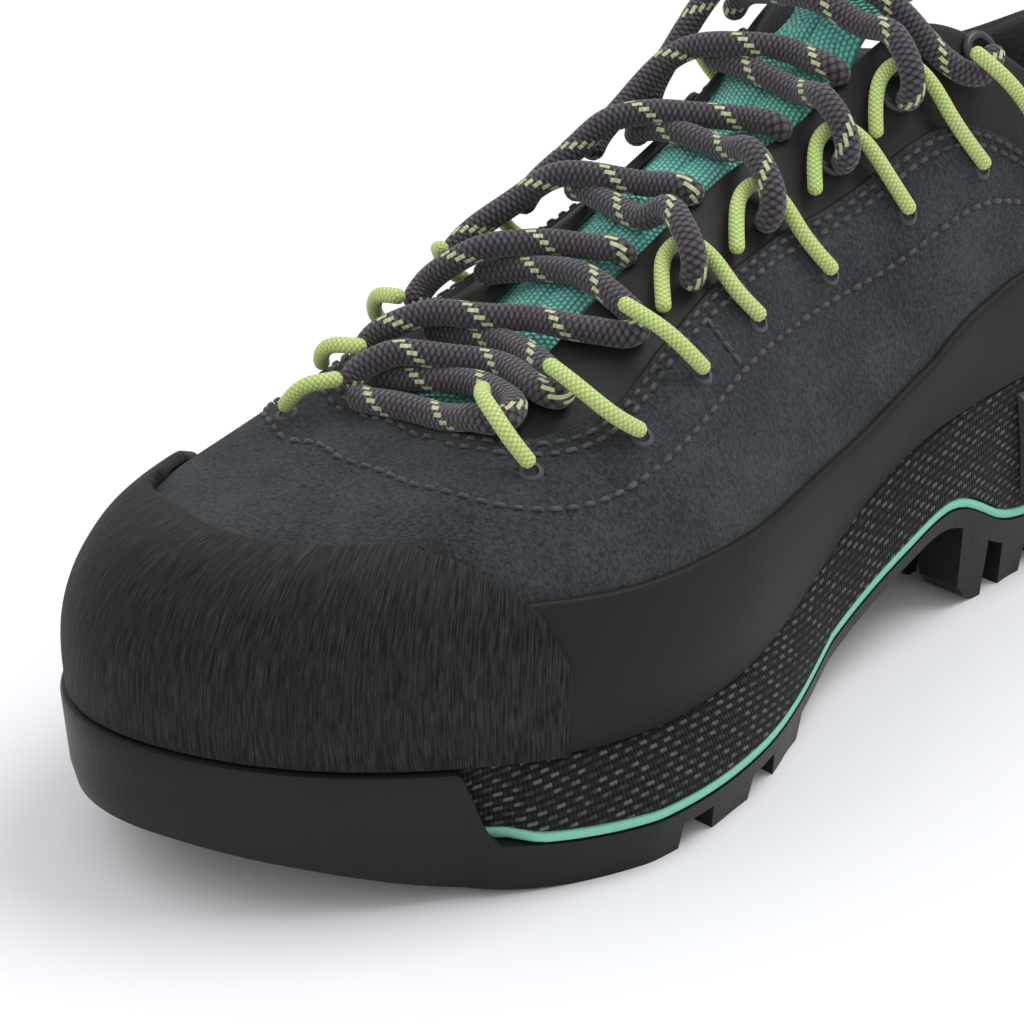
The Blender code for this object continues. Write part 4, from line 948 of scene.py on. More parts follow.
lug_faces = [face for face in lug_faces if face.is_valid and face.calc_area() > LEAST_FACE]
grown = bmesh.ops.extrude_face_region(work, geom=lug_faces)["geom"]
bmesh.ops.delete(work, geom=[face for face in lug_faces if face.is_valid], context="FACES")
new_faces = {item for item in grown if isinstance(item, bmesh.types.BMFace) and item.is_valid}
lugs = 0
while new_faces:
    lug = {new_faces.pop()}
    growing = set(lug)
    while growing:
        beside = {f for face in growing for edge in face.edges for f in edge.link_faces}
        growing = beside & new_faces
        new_faces -= growing
        lug |= growing
    corners = {corner for face in lug for corner in face.verts}
    centre = sum((corner.co for corner in corners), Vector()) / len(corners)
    for corner in corners:
        at_border = any(other not in lug for other in corner.link_faces)
        inward = (centre - corner.co) * Vector((1, 1, 0))
        if at_border and inward.length > LUG_DRAFT:
            corner.co += inward.normalized() * LUG_DRAFT
        corner.co.z = height_at(TREAD, corner.co.y)
    lugs += 1
work.to_mesh(outsole.data)
work.free()
close_up(outsole, sharp=35.0)
keep(outsole, "sole_rubber", "outsole")
print("lugs:", lugs)

# %% [markdown]
# A smooth plastic shell cups the heel of the midsole. It stands a little proud of
# the foam and has rounded ends.

# %% Heel stabiliser
STABILISER_FIRST_RIB, STABILISER_SEAT, STABILISER_THICKNESS = 8.6, 0.0005, 0.0016
STABILISER_SHARES = np.array([0.12, 0.14, 0.17, 0.25, 0.4, 0.55, 0.7, 0.82, 0.86, 0.885, 0.90])
STABILISER_BULGE = np.maximum(0.0008 * (1 - ((STABILISER_SHARES - 0.5) / 0.4) ** 2), 0.0)
EDGE_FALL = np.interp(STABILISER_SHARES, [0.12, 0.14, 0.17, 0.86, 0.885, 0.90], [0.35, 0.8, 1, 1, 0.8, 0.35])
heel_rows = [k for k in range(COUNT) if SIDE[k] >= STABILISER_FIRST_RIB]
outer, inner = [], []
for k in heel_rows:
    for rows, lift in (
        (outer, STABILISER_SEAT + STABILISER_THICKNESS * EDGE_FALL + STABILISER_BULGE),
        (inner, STABILISER_SEAT + STABILISER_BULGE * 0.5),
    ):
        out_here = ledge_out[k] * STABILISER_SHARES + CORE_OUT[k] * (1 - STABILISER_SHARES) + lift
        plan = FEATHER[k, :2] + OUT[k] * out_here[:, None]
        low = np.array([height_at(MINT, y) for y in plan[:, 1]])
        rows.append(np.column_stack([plan, low + (FEATHER[k, 2] - low) * STABILISER_SHARES]))
dress("heel_shell", both_sides(outer, inner), heel_plastic, "heel_plastic", "heel_stabiliser", closed=False)

# %% [markdown]
# Inside lies a flat insole of foam under dark cloth.

# %% Insole
INSOLE_THICKNESS, INSOLE_SHARES = 0.0040, [0.8, 0.55, 0.3, 0.0]
# its edge: how far inside the feather line, and the height as a share
INSOLE_EDGE = ((0.0050, 1.0), (0.0042, 0.9), (0.0040, 0.0))
soft_ring, upper_ring, lower_ring = (
    outset(-inside, FEATHER[:, 2] + GAP + INSOLE_THICKNESS * share) for inside, share in INSOLE_EDGE
)
rings = [soft_ring] + rings_inside(soft_ring, INSOLE_SHARES)
rings = rings[::-1] + [upper_ring, lower_ring] + rings_inside(lower_ring, PLATE_SHARES)
dress("insole_sheet", np.stack(rings, axis=1), lining, "insole_cloth", "insole", loop=False)

# %% [markdown]
# The tongue lies under the throat and rises out of it. It is a padded strip with two
# channels beside a sewn seam. Its rows cross the foot: wing, middle, wing.

# %% Tongue
TONGUE_CLEARANCE, TONGUE_THICKNESS, TONGUE_DIP = 0.0006, 0.0038, 0.0012
TONGUE_LAST_RIB, TONGUE_NARROWS_RIB, TONGUE_FULL_RIB = 7.2, 5.8, 3.2
TONGUE_ROWS, TONGUE_COLUMNS = 160, 41
SEAM_DEPTH, CHANNEL_DEPTH, PAD_SWELL = 0.0009, 0.0005, 0.0005
SEAM_WIDTH, CHANNEL_WIDTH, PAD_WIDTH = 0.10, 0.12, 0.35
CHANNEL_PLACE, PAD_PLACE, TIP_SIDES_BACK = 1.1, 0.55, 0.004
# rows of the free tip: how far back, how far up, half its width, drop of its sides
TONGUE_TIP = [
    (0.009, 0.0065, 0.0085, 0.0010), (0.017, 0.0150, 0.0160, 0.0020), (0.023, 0.0235, 0.0215, 0.0030),
    (0.0265, 0.0290, 0.0170, 0.0020),
]


def tongue_row(u):
    """Outer wing, middle, inner wing at rib u: seven points."""
    narrow = 1 - 0.85 * ease(TONGUE_NARROWS_RIB, TONGUE_LAST_RIB, u)
    wings = [1 - (1 - v) * narrow for v in (.80, .90, 1.0)]
    depth = -WALL - TONGUE_CLEARANCE
    middle = (laid_one(u, 1.0) + laid_one(-u, 1.0)) / 2
    middle[2] -= TONGUE_DIP + (WALL + TONGUE_CLEARANCE) * (1 - ease(0.8, TONGUE_FULL_RIB, u))
    return np.vstack([laid(u, wings, depth), middle, laid(-u, wings, depth)[::-1]])


tongue_ribs = np.linspace(0.0, TONGUE_LAST_RIB, 26)
rows = [tongue_row(u) for u in tongue_ribs]
middle = rows[-1][3]
for tip_back, tip_up, half_width, drop in TONGUE_TIP:
    spread_out = np.array([1.0, 0.68, 0.36, 0.0, -0.36, -0.68, -1.0])
    x = middle[0] + spread_out * half_width
    y = middle[1] + tip_back + np.abs(spread_out) * TIP_SIDES_BACK
    rows.append(np.column_stack([x, y, middle[2] + tip_up - drop * spread_out**2]))
rows = np.array(rows)
middle_walk = walked(rows[:, 3])
even = np.linspace(0.0, middle_walk[-1], TONGUE_ROWS)
rows = open_curve(middle_walk, rows.reshape(len(rows), -1), even).reshape(TONGUE_ROWS, 7, 3)
across = np.linspace(0.0, 6.0, TONGUE_COLUMNS)
sheet = np.array([open_curve(np.arange(7.0), row, across) for row in rows])
along = np.gradient(sheet, axis=0)
side = np.gradient(sheet, axis=1)
out = np.cross(side, along)
out[0] = (out[1] + out[1][::-1]) / 2
out /= np.linalg.norm(out, axis=2)[:, :, None]
out *= np.sign(out[TONGUE_ROWS // 2, TONGUE_COLUMNS // 2, 2])
off_centre = np.abs(across - 3.0)
seam = SEAM_DEPTH * np.exp(-(off_centre / SEAM_WIDTH) ** 2)
channel = CHANNEL_DEPTH * np.exp(-((off_centre - CHANNEL_PLACE) / CHANNEL_WIDTH) ** 2)
swell = PAD_SWELL * np.exp(-((off_centre - PAD_PLACE) / PAD_WIDTH) ** 2)
height = swell - seam - channel
over = sheet + out * height[None, :, None]
below = sheet - out * TONGUE_THICKNESS
widths = arc_lengths(over)
uvs = both_sides(widths, widths)
uvs = np.stack([uvs, np.broadcast_to(even[:, None], uvs.shape)], axis=2)
tongue = skin("tongue_padded", both_sides(over, below), uvs, [tongue_cloth], closed=False)
close_up(tongue, cap_rows=True)
keep(tongue, "tongue_cloth", "tongue")

# %% [markdown]
# Cords are tubes along a smooth path. Their frame is carried from point to point
# without twist. Along the tube the UV holds metres, around it the share of a turn.

# %% Cords


def smooth_path(points, spacing=0.0006):
    """Evenly spaced points on a smooth curve through the given ones."""
    points = np.array(points, float)
    knots = walked(points)
    count = max(12, int(knots[-1] / spacing))
    return open_curve(knots, points, np.linspace(0.0, knots[-1], count))


def eased(path, passes=16):
    """The path with its small kinks rounded off; both ends stay where they are."""
    for _ in range(passes):
        path[1:-1] = (path[:-2] + 2 * path[1:-1] + path[2:]) / 4
    return path


def cord_grid(path, radius, sides=14, start=0.0):
    """Rings along a path with rounded ends, and their UV, which starts at the given length."""
    tangent = np.gradient(path, axis=0)
    tangent /= np.linalg.norm(tangent, axis=1)[:, None]
    first = np.cross(tangent[0], [0.1, 0.2, 1.0])
    frames = [first / np.linalg.norm(first)]
    for step in tangent[1:]:
        side_axis = frames[-1] - step * (frames[-1] @ step)
        frames.append(side_axis / np.linalg.norm(side_axis))
    frames = np.array(frames)
    third = np.cross(tangent, frames)
    walk = walked(path)
    from_end = np.minimum(walk, walk[-1] - walk)
    size = radius * np.sqrt(np.clip(1 - (1 - np.minimum(from_end / radius, 1.0)) ** 2, 0.0004, 1.0))
    turn = np.linspace(0.0, 2 * math.pi, sides, endpoint=False)
    ring_points = np.cos(turn)[None, :, None] * frames[:, None] + np.sin(turn)[None, :, None] * third[:, None]
    grid = path[:, None] + ring_points * size[:, None, None]
    share = np.linspace(0.0, 1.0, sides + 1)
    uvs = np.stack(np.meshgrid(walk + start, share, indexing="ij"), axis=2)
    return grid, uvs


def join(name, grids, material):
    """Several cord grids as one piece."""
    pieces = [skin(f"{name}_{n}", g, t, [material], closed=False) for n, (g, t) in enumerate(grids)]
    for piece in pieces:
        close_up(piece, cap_rows=True, sharp=80.0)
    whole = bmesh.new()
    for piece in pieces:
        whole.from_mesh(piece.data)
        bpy.data.objects.remove(piece)
    mesh = bpy.data.meshes.new(name)
    whole.to_mesh(mesh)
    whole.free()
    mesh.materials.append(material)
    mesh.shade_smooth()
    piece = bpy.data.objects.new(name, mesh)
    bpy.context.scene.collection.objects.link(piece)
    return piece


print("cord tools ready")

# %% [markdown]
# The lace crosses the throat. From a loop on the inner side a strand climbs over its
# neighbour to the outer side, turns in a loop there and comes back underneath. Higher
# up it dives under the edge of the throat and returns through a hole in the eyestay.
# The places are those of the solids, with a dive added where a strand leaves or enters.

# %% Lace
# A place is (u, s, lift in mm). s is 1 at the outer edge of the throat and -1 at the
# inner edge. Between the edges it crosses the tongue, beyond them it runs down the eyestay.
EYESTAY_PER_SIDE = 0.4


def over_throat(u, s, lift):
    """A place over the throat, or beyond its edges on the eyestay; the lift is in mm."""
    lift = lift / 1000
    if abs(s) >= 1:
        return laid_one(math.copysign(u, s), 1 - (abs(s) - 1) * EYESTAY_PER_SIDE, lift)
    share = (1 + s) / 2
    near, far = laid_one(u, 1.0), laid_one(-u, 1.0)
    out = (laid_one(u, 1.0, 0.001) - near) * share + (laid_one(-u, 1.0, 0.001) - far) * (1 - share)
    return near * share + far * (1 - share) + out / np.linalg.norm(out) * lift


def from_hole(u):
    """First places of a strand that comes out of a hole in the outer eyestay."""
    return [
        (u, 1.39, -0.6), (u, 1.41, 2.2), (u, 1.36, 5.2),
        (u + .01, 1.27, 6.4), (u + .02, 1.15, 6.2), (u + .02, 1.00, 4.8),
    ]


def under_edge(u):
    """Last places of a strand that dives under the outer edge of the throat."""
    return [(u, 0.88, 1.5), (u + .03, 1.02, -1.6)]


LACE_PIECES = {
    "lace_front": [
        [
            (2.10, -1.38, 2.4), (1.62, -1.27, 1.9), (0.95, -1.18, 1.9), (0.38, 1.12, 1.9), (1.40, 1.17, 1.8),
            (1.96, 1.26, 1.7), (2.66, 1.50, 2.8), (2.94, 1.60, 2.8), (3.05, 1.54, 2.7), (2.99, 1.42, 1.7),
            (2.66, 1.23, 1.6), (2.14, 0.80, 1.7), (1.95, -0.08, 1.8), (1.55, -0.95, 1.6), (2.13, -1.15, 1.6),
            (2.55, -1.30, 1.7),
        ],
        [
            (2.22, -1.41, 2.6), (2.38, -1.38, 4.4), (2.24, -1.22, 6.0), (1.92, -1.03, 6.7), (1.97, -0.75, 6.3),
            (2.34, 0.02, 4.0), (2.62, 0.90, 1.9), (3.16, 1.33, 1.6), (3.42, 1.51, 1.7), (3.56, 1.57, 1.7),
            (3.57, 1.50, 1.7), (3.46, 1.38, 1.7), (3.22, 1.17, 1.6), (3.01, 0.74, 1.7), (3.04, 0.05, 1.7),
            (2.98, -0.51, 1.6), (2.95, -0.90, 1.5), (3.20, -1.20, 1.6),
        ],
        [
            (3.00, -1.49, 2.2), (3.13, -1.45, 4.2), (3.06, -1.28, 6.0), (2.93, -0.98, 6.8), (3.02, -0.60, 6.0),
            (3.22, 0.10, 4.2), (3.45, 0.70, 2.4), (3.72, 1.13, 1.7), (4.14, 1.34, 1.7), (4.40, 1.46, 1.7),
            (4.50, 1.44, 1.7), (4.46, 1.34, 1.7), (4.32, 1.15, 1.6), (4.22, 0.65, 1.7), (4.20, 0.04, 1.7),
            (4.12, -0.50, 1.6), (4.02, -0.92, 1.5), (4.20, -1.22, 1.6),
        ],
    ],
    "lace_crossing_1": [
        [
            (3.82, -1.47, 2.2), (4.02, -1.44, 4.2), (4.02, -1.22, 6.2), (4.02, -1.00, 6.8), (4.17, -0.72, 6.0),
            (4.38, -0.42, 4.4), (4.52, 0.00, 2.8), (4.62, 0.46, 1.8), *under_edge(4.66),
        ],
    ],
    "lace_crossing_2": [
        [
            *from_hole(5.12), (5.09, 0.80, 2.2), (5.12, 0.00, 1.7), (5.18, -0.60, 2.0), (5.22, -0.95, 2.1),
            (5.40, -1.18, 1.8),
        ],
        [
            (4.68, -1.58, 5.0), (4.80, -1.50, 6.4), (4.95, -1.34, 6.9), (5.08, -1.18, 7.0), (5.14, -1.02, 6.9),
            (5.20, -0.79, 6.2), (5.30, -0.30, 4.0), (5.42, 0.33, 2.0), *under_edge(5.47),
        ],
    ],
    "lace_crossing_3": [
        [
            *from_hole(5.92), (5.97, 0.78, 2.2), (6.00, 0.00, 1.8), (6.00, -0.60, 2.2), (5.97, -0.95, 2.1),
            (6.10, -1.18, 1.8),
        ],
        [
            (5.30, -1.48, 4.6), (5.40, -1.42, 6.4), (5.52, -1.32, 7.2), (5.66, -1.18, 7.4), (5.80, -1.00, 7.2),
            (5.90, -0.80, 6.8), (6.02, -0.55, 5.8), (6.18, -0.20, 4.0), (6.38, 0.20, 2.4), (6.50, 0.60, 1.7),
            *under_edge(6.52),
        ],
    ],
    "lace_crossing_4": [
        [
            *from_hole(6.86), (6.92, 0.80, 2.2), (6.96, 0.10, 1.8), (6.98, -0.45, 2.2), (6.98, -0.75, 2.8),
            (6.99, -0.98, 2.4),
        ],
        [
            (6.00, -1.42, 5.0), (6.14, -1.40, 6.8), (6.40, -1.30, 7.8), (6.68, -1.12, 8.0), (6.90, -0.85, 7.4),
            (7.02, -0.50, 6.6), (7.12, -0.22, 5.0), (7.20, 0.05, 3.4), (7.21, 0.45, 2.2), *under_edge(7.20),
        ],
    ],
    "lace_crossing_5": [
        [
            *from_hole(7.56), (7.57, 0.75, 3.6), (7.59, 0.20, 6.2), (7.60, -0.25, 6.0), (7.63, -0.62, 4.6),
            (7.66, -1.05, 3.4), (7.74, -1.28, 3.4),
        ],
    ],
    "lace_crossing_6": [
        [
            (6.80, -1.42, 5.0), (6.95, -1.40, 6.8), (7.15, -1.30, 7.8), (7.40, -1.12, 8.6), (7.62, -0.80, 9.8),
            (7.75, -0.30, 10.0), (7.80, 0.30, 8.4), (7.80, 0.80, 4.2), (7.82, 1.05, 1.8), (7.90, 1.22, 1.8),
            (8.00, 1.33, 1.9), (8.12, 1.39, 2.4), (8.26, 1.36, 3.0), (8.36, 1.25, 3.3), (8.42, 1.13, 3.3),
        ],
    ],
}
BRAID_START = 0.0043
for number, (node, strands) in enumerate(LACE_PIECES.items()):
    grids = []
    for places in strands:
        path = eased(smooth_path([over_throat(*place) for place in places]))
        grids.append(cord_grid(path, LACE_DIAMETER / 2, start=BRAID_START * (number + len(grids))))
    keep(join(f"lace_strands_{number}", grids, lace_braid), "lace_braid", node)

# %% [markdown]
# Thin cord loops take the place of punched eyelets. Each comes out of a hole in the
# suede and bends around the lace. The upper ones go down again beside it.

# %% Cord loops
# shape of an inner loop: ribs back from its hole, and s
LOWER_LOOP = ((0.0, -1.88), (.23, -1.76), (.41, -1.62), (.59, -1.48), (.73, -1.36))
UPPER_LOOP = ((0.0, -1.88), (.23, -1.76), (.41, -1.62), (.54, -1.54), (.63, -1.46))


def hooked(hole_u, hole_s, u):
    """An outer loop from its hole around the lace's hole at u, and down beside it."""
    around_lace = [
        (.20, 1.58, 2.1), (.12, 1.34, 2.0), (0, 1.20, 1.9), (-.16, 1.18, 1.9), (-.31, 1.27, 1.9), (-.42, 1.45, 1.0),
    ]
    return [(hole_u, hole_s, 1.4)] + [(u + ahead, s, lift) for ahead, s, lift in around_lace]


def leaning(u, shape, rise, top, press=1.0):
    """An inner loop from its hole at u; its lifts may be pressed down."""
    lifts = [1.4] + [lift * press for lift in (rise, top - 0.2, top, top - 0.4)]
    return [(u - behind, s, lift) for (behind, s), lift in zip(shape, lifts)]


CORD_LOOPS = {
    "outer_1": [(3.29, 1.94, 1.4), (3.08, 1.82, 5.2), (2.88, 1.66, 7.5), (2.72, 1.50, 7.5), (2.66, 1.38, 6.4)],
    "outer_2": [(4.24, 1.98, 1.4), (3.96, 1.86, 4.2), (3.72, 1.70, 6.1), (3.52, 1.53, 6.4), (3.38, 1.40, 6.0)],
    "outer_3": [(4.94, 1.87, 1.4), (4.76, 1.76, 4.2), (4.58, 1.60, 6.1), (4.43, 1.45, 6.4), (4.30, 1.31, 6.0)],
    "outer_4": hooked(5.58, 1.84, 5.19),
    "outer_5": hooked(6.43, 1.91, 5.99),
    "outer_6": hooked(7.29, 1.98, 6.93),
    "outer_7": hooked(8.12, 1.96, 7.63),
    "outer_8": [(8.85, 1.85, 1.4), (8.74, 1.68, 3.6), (8.50, 1.54, 6.0), (8.24, 1.42, 7.2), (8.06, 1.27, 6.4)],
    "inner_1": leaning(2.67, LOWER_LOOP, 4.4, 6.9),
    "inner_2": leaning(3.45, LOWER_LOOP, 4.2, 6.7),
    "inner_3": leaning(4.27, LOWER_LOOP, 4.2, 6.7),
    "inner_4": leaning(5.13, UPPER_LOOP, 6.0, 9.4, press=0.78),
    "inner_5": leaning(5.75, UPPER_LOOP, 5.7, 9.0, press=0.78),
    "inner_6": leaning(6.45, UPPER_LOOP, 6.0, 9.4, press=0.78),
    "inner_7": leaning(7.25, UPPER_LOOP, 6.0, 9.4, press=0.78),
    "inner_8": leaning(8.23, UPPER_LOOP, 4.9, 7.8),
}
for name, places in CORD_LOOPS.items():
    path = smooth_path([over_throat(*place) for place in places], 0.0004)
    loop = join(f"loop_{name}", [cord_grid(path, CORD_DIAMETER / 2, 12)], loop_cord)
    keep(loop, "loop_cord", f"cord_loop_{name}")

# %% [markdown]
# The upper rows have plastic rings that line the holes of the lace. A ring is a
# small profile turned around the hole's own axis.

# %% Eyelet rings
EYELET_OUTSIDE, EYELET_BORE, EYELET_HEIGHT = 0.0085, 0.0050, 0.0011
RING_SIDES = 40
# number of the lace row, then u and s of the hole
LACE_RINGS = [(6, 6.86, 1.32), (7, 7.56, 1.32), (8, 8.42, 1.14)]
RING_SECTION = [
    (EYELET_BORE / 2, 0.0), (EYELET_BORE / 2, .5), (EYELET_BORE / 2 + .0002, .85), (.0031, 1.0),
    (.0036, .98), (.0041, .7), (EYELET_OUTSIDE / 2, .35), (EYELET_OUTSIDE / 2, 0.0),
]


def turned_ring(section, count):
    """Rings of points: a section of (radius, height) turned around the upright axis."""
    angles = np.linspace(0, 2 * math.pi, count, endpoint=False)
    return np.array([[(r * math.cos(a), r * math.sin(a), h) for r, h in section] for a in angles])


for side, name in ((1, "outer"), (-1, "inner")):
    for number, ring_u, ring_s in LACE_RINGS:
        u, v = side * ring_u, 1 - (ring_s - 1) * EYESTAY_PER_SIDE
        axis = Vector(laid_one(u, v, 0.001) - laid_one(u, v)).normalized()
        tilt = np.array(Vector((0, 0, 1)).rotation_difference(axis).to_matrix())
        grid = turned_ring([(r, h * EYELET_HEIGHT) for r, h in RING_SECTION], RING_SIDES)
        grid = grid @ tilt.T + laid_one(u, v, -SUEDE_STEP + GAP)
        ring_piece = skin(f"ring_{name}_{number}", grid, np.zeros((1, 1, 2)), [ring_plastic])
        close_up(ring_piece, sharp=40.0)
        keep(ring_piece, "eyelet_plastic", f"eyelet_{name}_{number}")

# %% [markdown]
# The seams are sewn with thick thread. One short stitch is modelled, and a geometry
# node tree sets it on every point of a seam. Each point carries the surface's normal
# and the seam's direction, so that the stitch lies flat, and the seed varies the sizes.

# %% Stitches
VAMP_SEAM = [
    (-1.9, .70), (-1.3, .763), (0.0, .775), (1.05, .765), (2.0, .69), (2.55, .625), (3.4, .525), (3.9, .513),
    (4.4, .537), (4.95, .575), (5.3, .60), (5.85, .60), (6.5, .575), (7.2, .525), (8.3, .537), (9.2, .56),
]
QUARTER_SEAM = [(5.12, .755), (5.2, .688), (5.3, .613)]
TOE_SEAM = [(-1.5, .88), (0.0, .915), (1.5, .88)]
EDGE_SEAM_START, EDGE_SEAM_END, EDGE_SEAM_SHIFTS = 1.5, 9.0, (-0.022, -0.050)
INNER_VAMP_START = 1.8
STITCH_PITCH, QUARTER_PITCH, STITCH_LENGTH, STITCH_WIDTH = 0.0030, 0.0026, 0.0024, 0.0009
STITCH_ROWS, STITCH_SIDES, LEAST_STITCH, STITCH_SEED = 6, 6, 0.85, 3


def one_stitch():
    """A rounded bar that dips into the leather at both ends."""
    rings = []
    for share in np.linspace(-1.0, 1.0, STITCH_ROWS):
        radius = STITCH_WIDTH / 2 * math.sqrt(max(1 - share**6, 0.02))
        rise = STITCH_WIDTH * (0.32 - 0.45 * share**4)
        turn = np.linspace(0, 2 * math.pi, STITCH_SIDES, endpoint=False)
        x = np.full(STITCH_SIDES, share * STITCH_LENGTH / 2)
        rings.append(np.column_stack([x, radius * np.cos(turn), rise + radius * 0.8 * np.sin(turn)]))
    return close_up(skin("one_stitch", rings, np.zeros((1, 1, 2)), [thread], closed=False), cap_rows=True)


def seam_points(places, shift=0.0, lift=0.0001, pitch=STITCH_PITCH):
    """Evenly spaced points, normals and directions along a seam given by (u, v) places."""
    places = np.array(places, float)
    fine_u = np.linspace(places[0, 0], places[-1, 0], 40 * len(places))
    fine_v = open_curve(places[:, 0], places[:, 1:2], fine_u)[:, 0] + shift
    line = np.array([laid_one(u, v, lift) for u, v in zip(fine_u, fine_v)])
    walk = walked(line)
    stops = np.arange(pitch / 2, walk[-1], pitch)
    ahead = np.interp(stops, walk, fine_u)
    height = np.interp(stops, walk, fine_v)
    points = np.array([laid_one(u, v, lift) for u, v in zip(ahead, height)])
    above = np.array([laid_one(u, v, lift + 0.001) for u, v in zip(ahead, height)])
    before, after = (
        np.stack([np.interp(stops + step, walk, line[:, axis]) for axis in range(3)], axis=1)
        for step in (-pitch / 3, pitch / 3)
    )
    return points, above - points, after - before


def repeat_tree(name):
    """A node tree that sets one shape on every point, along its direction and up its normal."""
    tree = bpy.data.node_groups.new(name, "GeometryNodeTree")
    for socket_name, kind in (
        ("Points", "Geometry"), ("Shape", "Object"), ("Least size", "Float"), ("Seed", "Int"), ("Finish", "Material"),
    ):
        tree.interface.new_socket(socket_name, in_out="INPUT", socket_type="NodeSocket" + kind)
    tree.interface.new_socket("Geometry", in_out="OUTPUT", socket_type="NodeSocketGeometry")

    def add(kind, links=(), **settings):
        node = tree.nodes.new(kind)
        for key, value in settings.items():
            setattr(node, key, value)
        for socket, target in links:
            tree.links.new(socket, node.inputs[target])
        return node

    given = add("NodeGroupInput")
    upward, forward = (add("GeometryNodeInputNamedAttribute", data_type="FLOAT_VECTOR") for _ in range(2))
    upward.inputs["Name"].default_value = "upward"
    forward.inputs["Name"].default_value = "forward"
    stood = add("FunctionNodeAlignRotationToVector", [(upward.outputs[0], "Vector")], axis="Z")
    turned = add(
        "FunctionNodeAlignRotationToVector",
        [(stood.outputs[0], "Rotation"), (forward.outputs[0], "Vector")], axis="X", pivot_axis="Z",
    )
    size = add("FunctionNodeRandomValue", [(given.outputs["Least size"], 2), (given.outputs["Seed"], "Seed")])
    size.inputs[3].default_value = 1.0
    shape = add("GeometryNodeObjectInfo", [(given.outputs["Shape"], "Object")])
    placed = add(
        "GeometryNodeInstanceOnPoints",
        [(given.outputs["Points"], "Points"), (shape.outputs["Geometry"], "Instance"),
         (turned.outputs[0], "Rotation"), (size.outputs[1], "Scale")],
    )
    real = add("GeometryNodeRealizeInstances", [(placed.outputs[0], "Geometry")])
    finished = add("GeometryNodeSetMaterial", [(real.outputs[0], "Geometry"), (given.outputs["Finish"], "Material")])
    add("NodeGroupOutput", [(finished.outputs[0], "Geometry")])
    return tree


def repeat(name, runs, shape, finish, least_size, seed):
    """The shape on every point of the runs, as one finished mesh; the shape goes."""
    points, normals, forwards = (np.concatenate([run[k] for run in runs]) for k in range(3))
    mesh = bpy.data.meshes.new(name)
    mesh.from_pydata(points.tolist(), [], [])
    for key, values in (("upward", normals), ("forward", forwards)):
        attribute = mesh.attributes.new(key, "FLOAT_VECTOR", "POINT")
        attribute.data.foreach_set("vector", values.ravel().astype(np.float32))
    holder = bpy.data.objects.new(name + "_points", mesh)
    bpy.context.scene.collection.objects.link(holder)
    modifier = holder.modifiers.new("repeat", "NODES")
    modifier.node_group = repeat_tree(name + "_tree")
    values = {"Shape": shape, "Least size": least_size, "Seed": seed, "Finish": finish}
    for item in modifier.node_group.interface.items_tree:
        if item.in_out == "INPUT" and item.name in values:
            modifier[item.identifier] = values[item.name]
    evaluated = holder.evaluated_get(bpy.context.evaluated_depsgraph_get())
    made = bpy.data.objects.new(name, bpy.data.meshes.new_from_object(evaluated))
    made.data.shade_smooth()
    bpy.context.scene.collection.objects.link(made)
    bpy.data.objects.remove(holder)
    bpy.data.objects.remove(shape)
    print(name, "copies:", len(points))
    return keep(made, "suede")


edge_outer = [(u, v) for u, v in SUEDE_EDGE if EDGE_SEAM_START < u <= EDGE_SEAM_END]
edge_inner = [(-u, v) for u, v in reversed(edge_outer)]
runs = [seam_points(VAMP_SEAM), seam_points(QUARTER_SEAM, pitch=QUARTER_PITCH)]
runs.append(seam_points([(-u, v) for u, v in reversed(VAMP_SEAM) if u > INNER_VAMP_START]))
for places in (edge_outer, edge_inner):
    runs += [seam_points(places, shift=shift) for shift in EDGE_SEAM_SHIFTS]
runs.append(seam_points(TOE_SEAM))
repeat("seam_stitches", runs, one_stitch(), thread, LEAST_STITCH, STITCH_SEED)

# %% [markdown]
# Every loop leaves the suede through a punched hole. A small dark ring stands at the
# edge of each: painted shadow where the cord goes into the hole.

# %% Loop holes and their painted shadow rings
HOLE_SIDES, LEAST_HOLE, HOLE_SEED = 14, 0.95, 5
HOLE_SECTION = [(0.0013, 0.0004), (0.0018, 0.00035), (0.0021, 0.0001), (0.0021, -0.0004), (0.0013, -0.0004)]
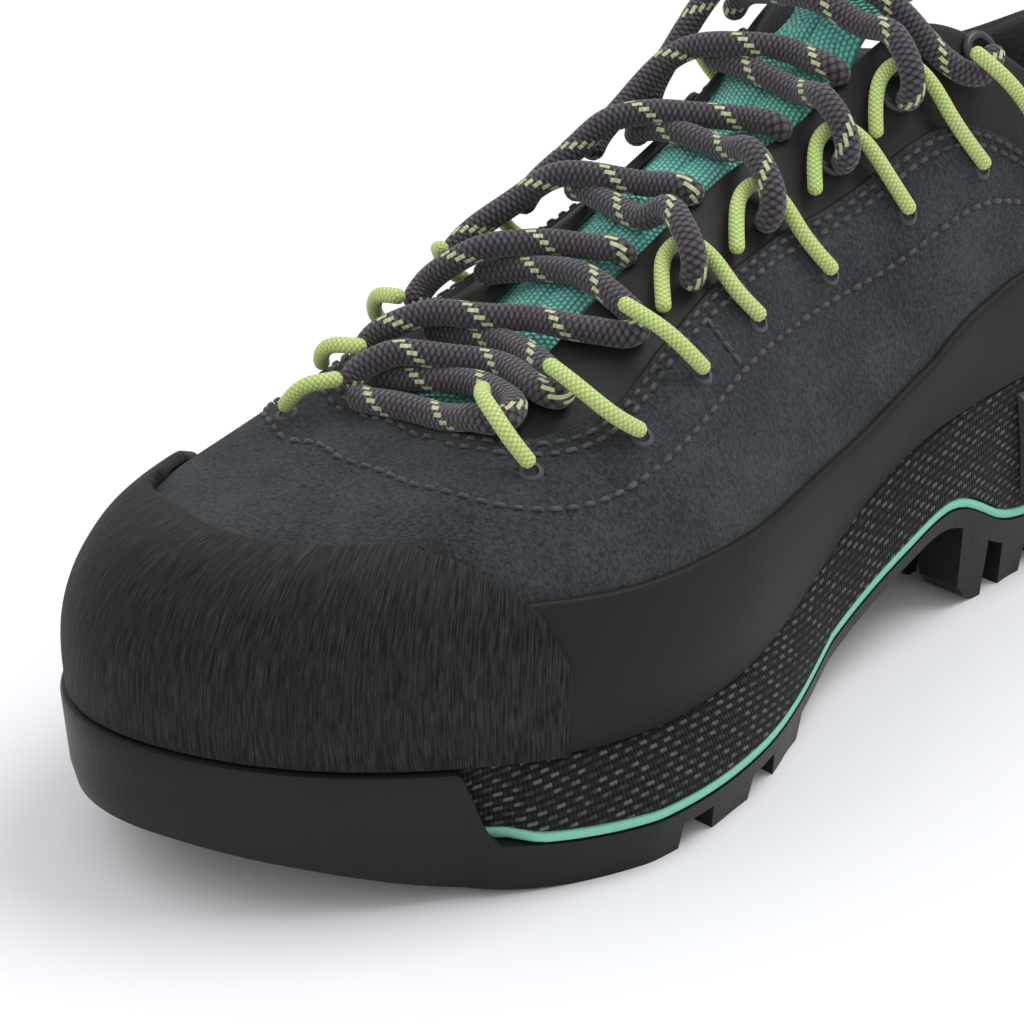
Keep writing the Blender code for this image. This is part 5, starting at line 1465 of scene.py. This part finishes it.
# painted shadow: a small dark ring in the thread's finish at each mouth stands for the shade inside the hole around
# the cord
hole = close_up(skin("one_hole", turned_ring(HOLE_SECTION, HOLE_SIDES), np.zeros((1, 1, 2)), [thread]))
mouths = [places[0][:2] for places in CORD_LOOPS.values()]
points, above, beside = (
    np.array([over_throat(u + ahead, s, lift) for u, s in mouths]) for ahead, lift in ((0, 0.0), (0, 1.0), (.1, 0.0))
)
repeat("loop_holes", [(points, above - points, beside - points)], hole, thread, LEAST_HOLE, HOLE_SEED)

# %% [markdown]
# Last come the floor and the light: a wide pale floor, a pale sky and large soft
# lamps, as in a product photograph.

# %% Floor and light
FLOOR_REACH, FLOOR_COLOUR = 4, (0.86, 0.87, 0.89, 1.0)
SKY_COLOUR, SKY_STRENGTH = (0.985, 0.99, 1.0, 1.0), 0.70
floor_mesh = bpy.data.meshes.new("floor")
floor_corners = [(x * FLOOR_REACH, y * FLOOR_REACH, 0) for x, y in ((-1, -1), (1, -1), (1, 1), (-1, 1))]
floor_mesh.from_pydata(floor_corners, [], [(0, 1, 2, 3)])
floor = bpy.data.objects.new("floor", floor_mesh)
floor_paint, place, uv = new_finish("pale_floor", 0.85)
floor_paint.node_tree.nodes["Principled BSDF"].inputs["Base Color"].default_value = FLOOR_COLOUR
floor_mesh.materials.append(floor_paint)
bpy.context.scene.collection.objects.link(floor)

world = bpy.data.worlds.new("studio")
world.use_nodes = True
world.node_tree.nodes["Background"].inputs["Color"].default_value = SKY_COLOUR
world.node_tree.nodes["Background"].inputs["Strength"].default_value = SKY_STRENGTH
bpy.context.scene.world = world
bpy.context.scene.view_settings.view_transform = "Standard"


def lamp(name, place, target, size, power):
    data = bpy.data.lights.new(name, "AREA")
    data.shape, data.size, data.energy = "DISK", size, power
    made = bpy.data.objects.new(name, data)
    made.location = place
    made.rotation_euler = (Vector(target) - Vector(place)).to_track_quat("-Z", "Y").to_euler()
    bpy.context.scene.collection.objects.link(made)


lamp("key", (0.35, 0.55, 1.3), (0.0, -0.02, 0.05), 0.9, 11.0)
lamp("fill", (-0.7, -0.6, 1.0), (0.0, -0.05, 0.05), 1.0, 4.0)
lamp("front", (0.9, -0.9, 0.6), (0.0, -0.05, 0.05), 1.0, 1.5)
print("lamps:", len(bpy.data.lights))
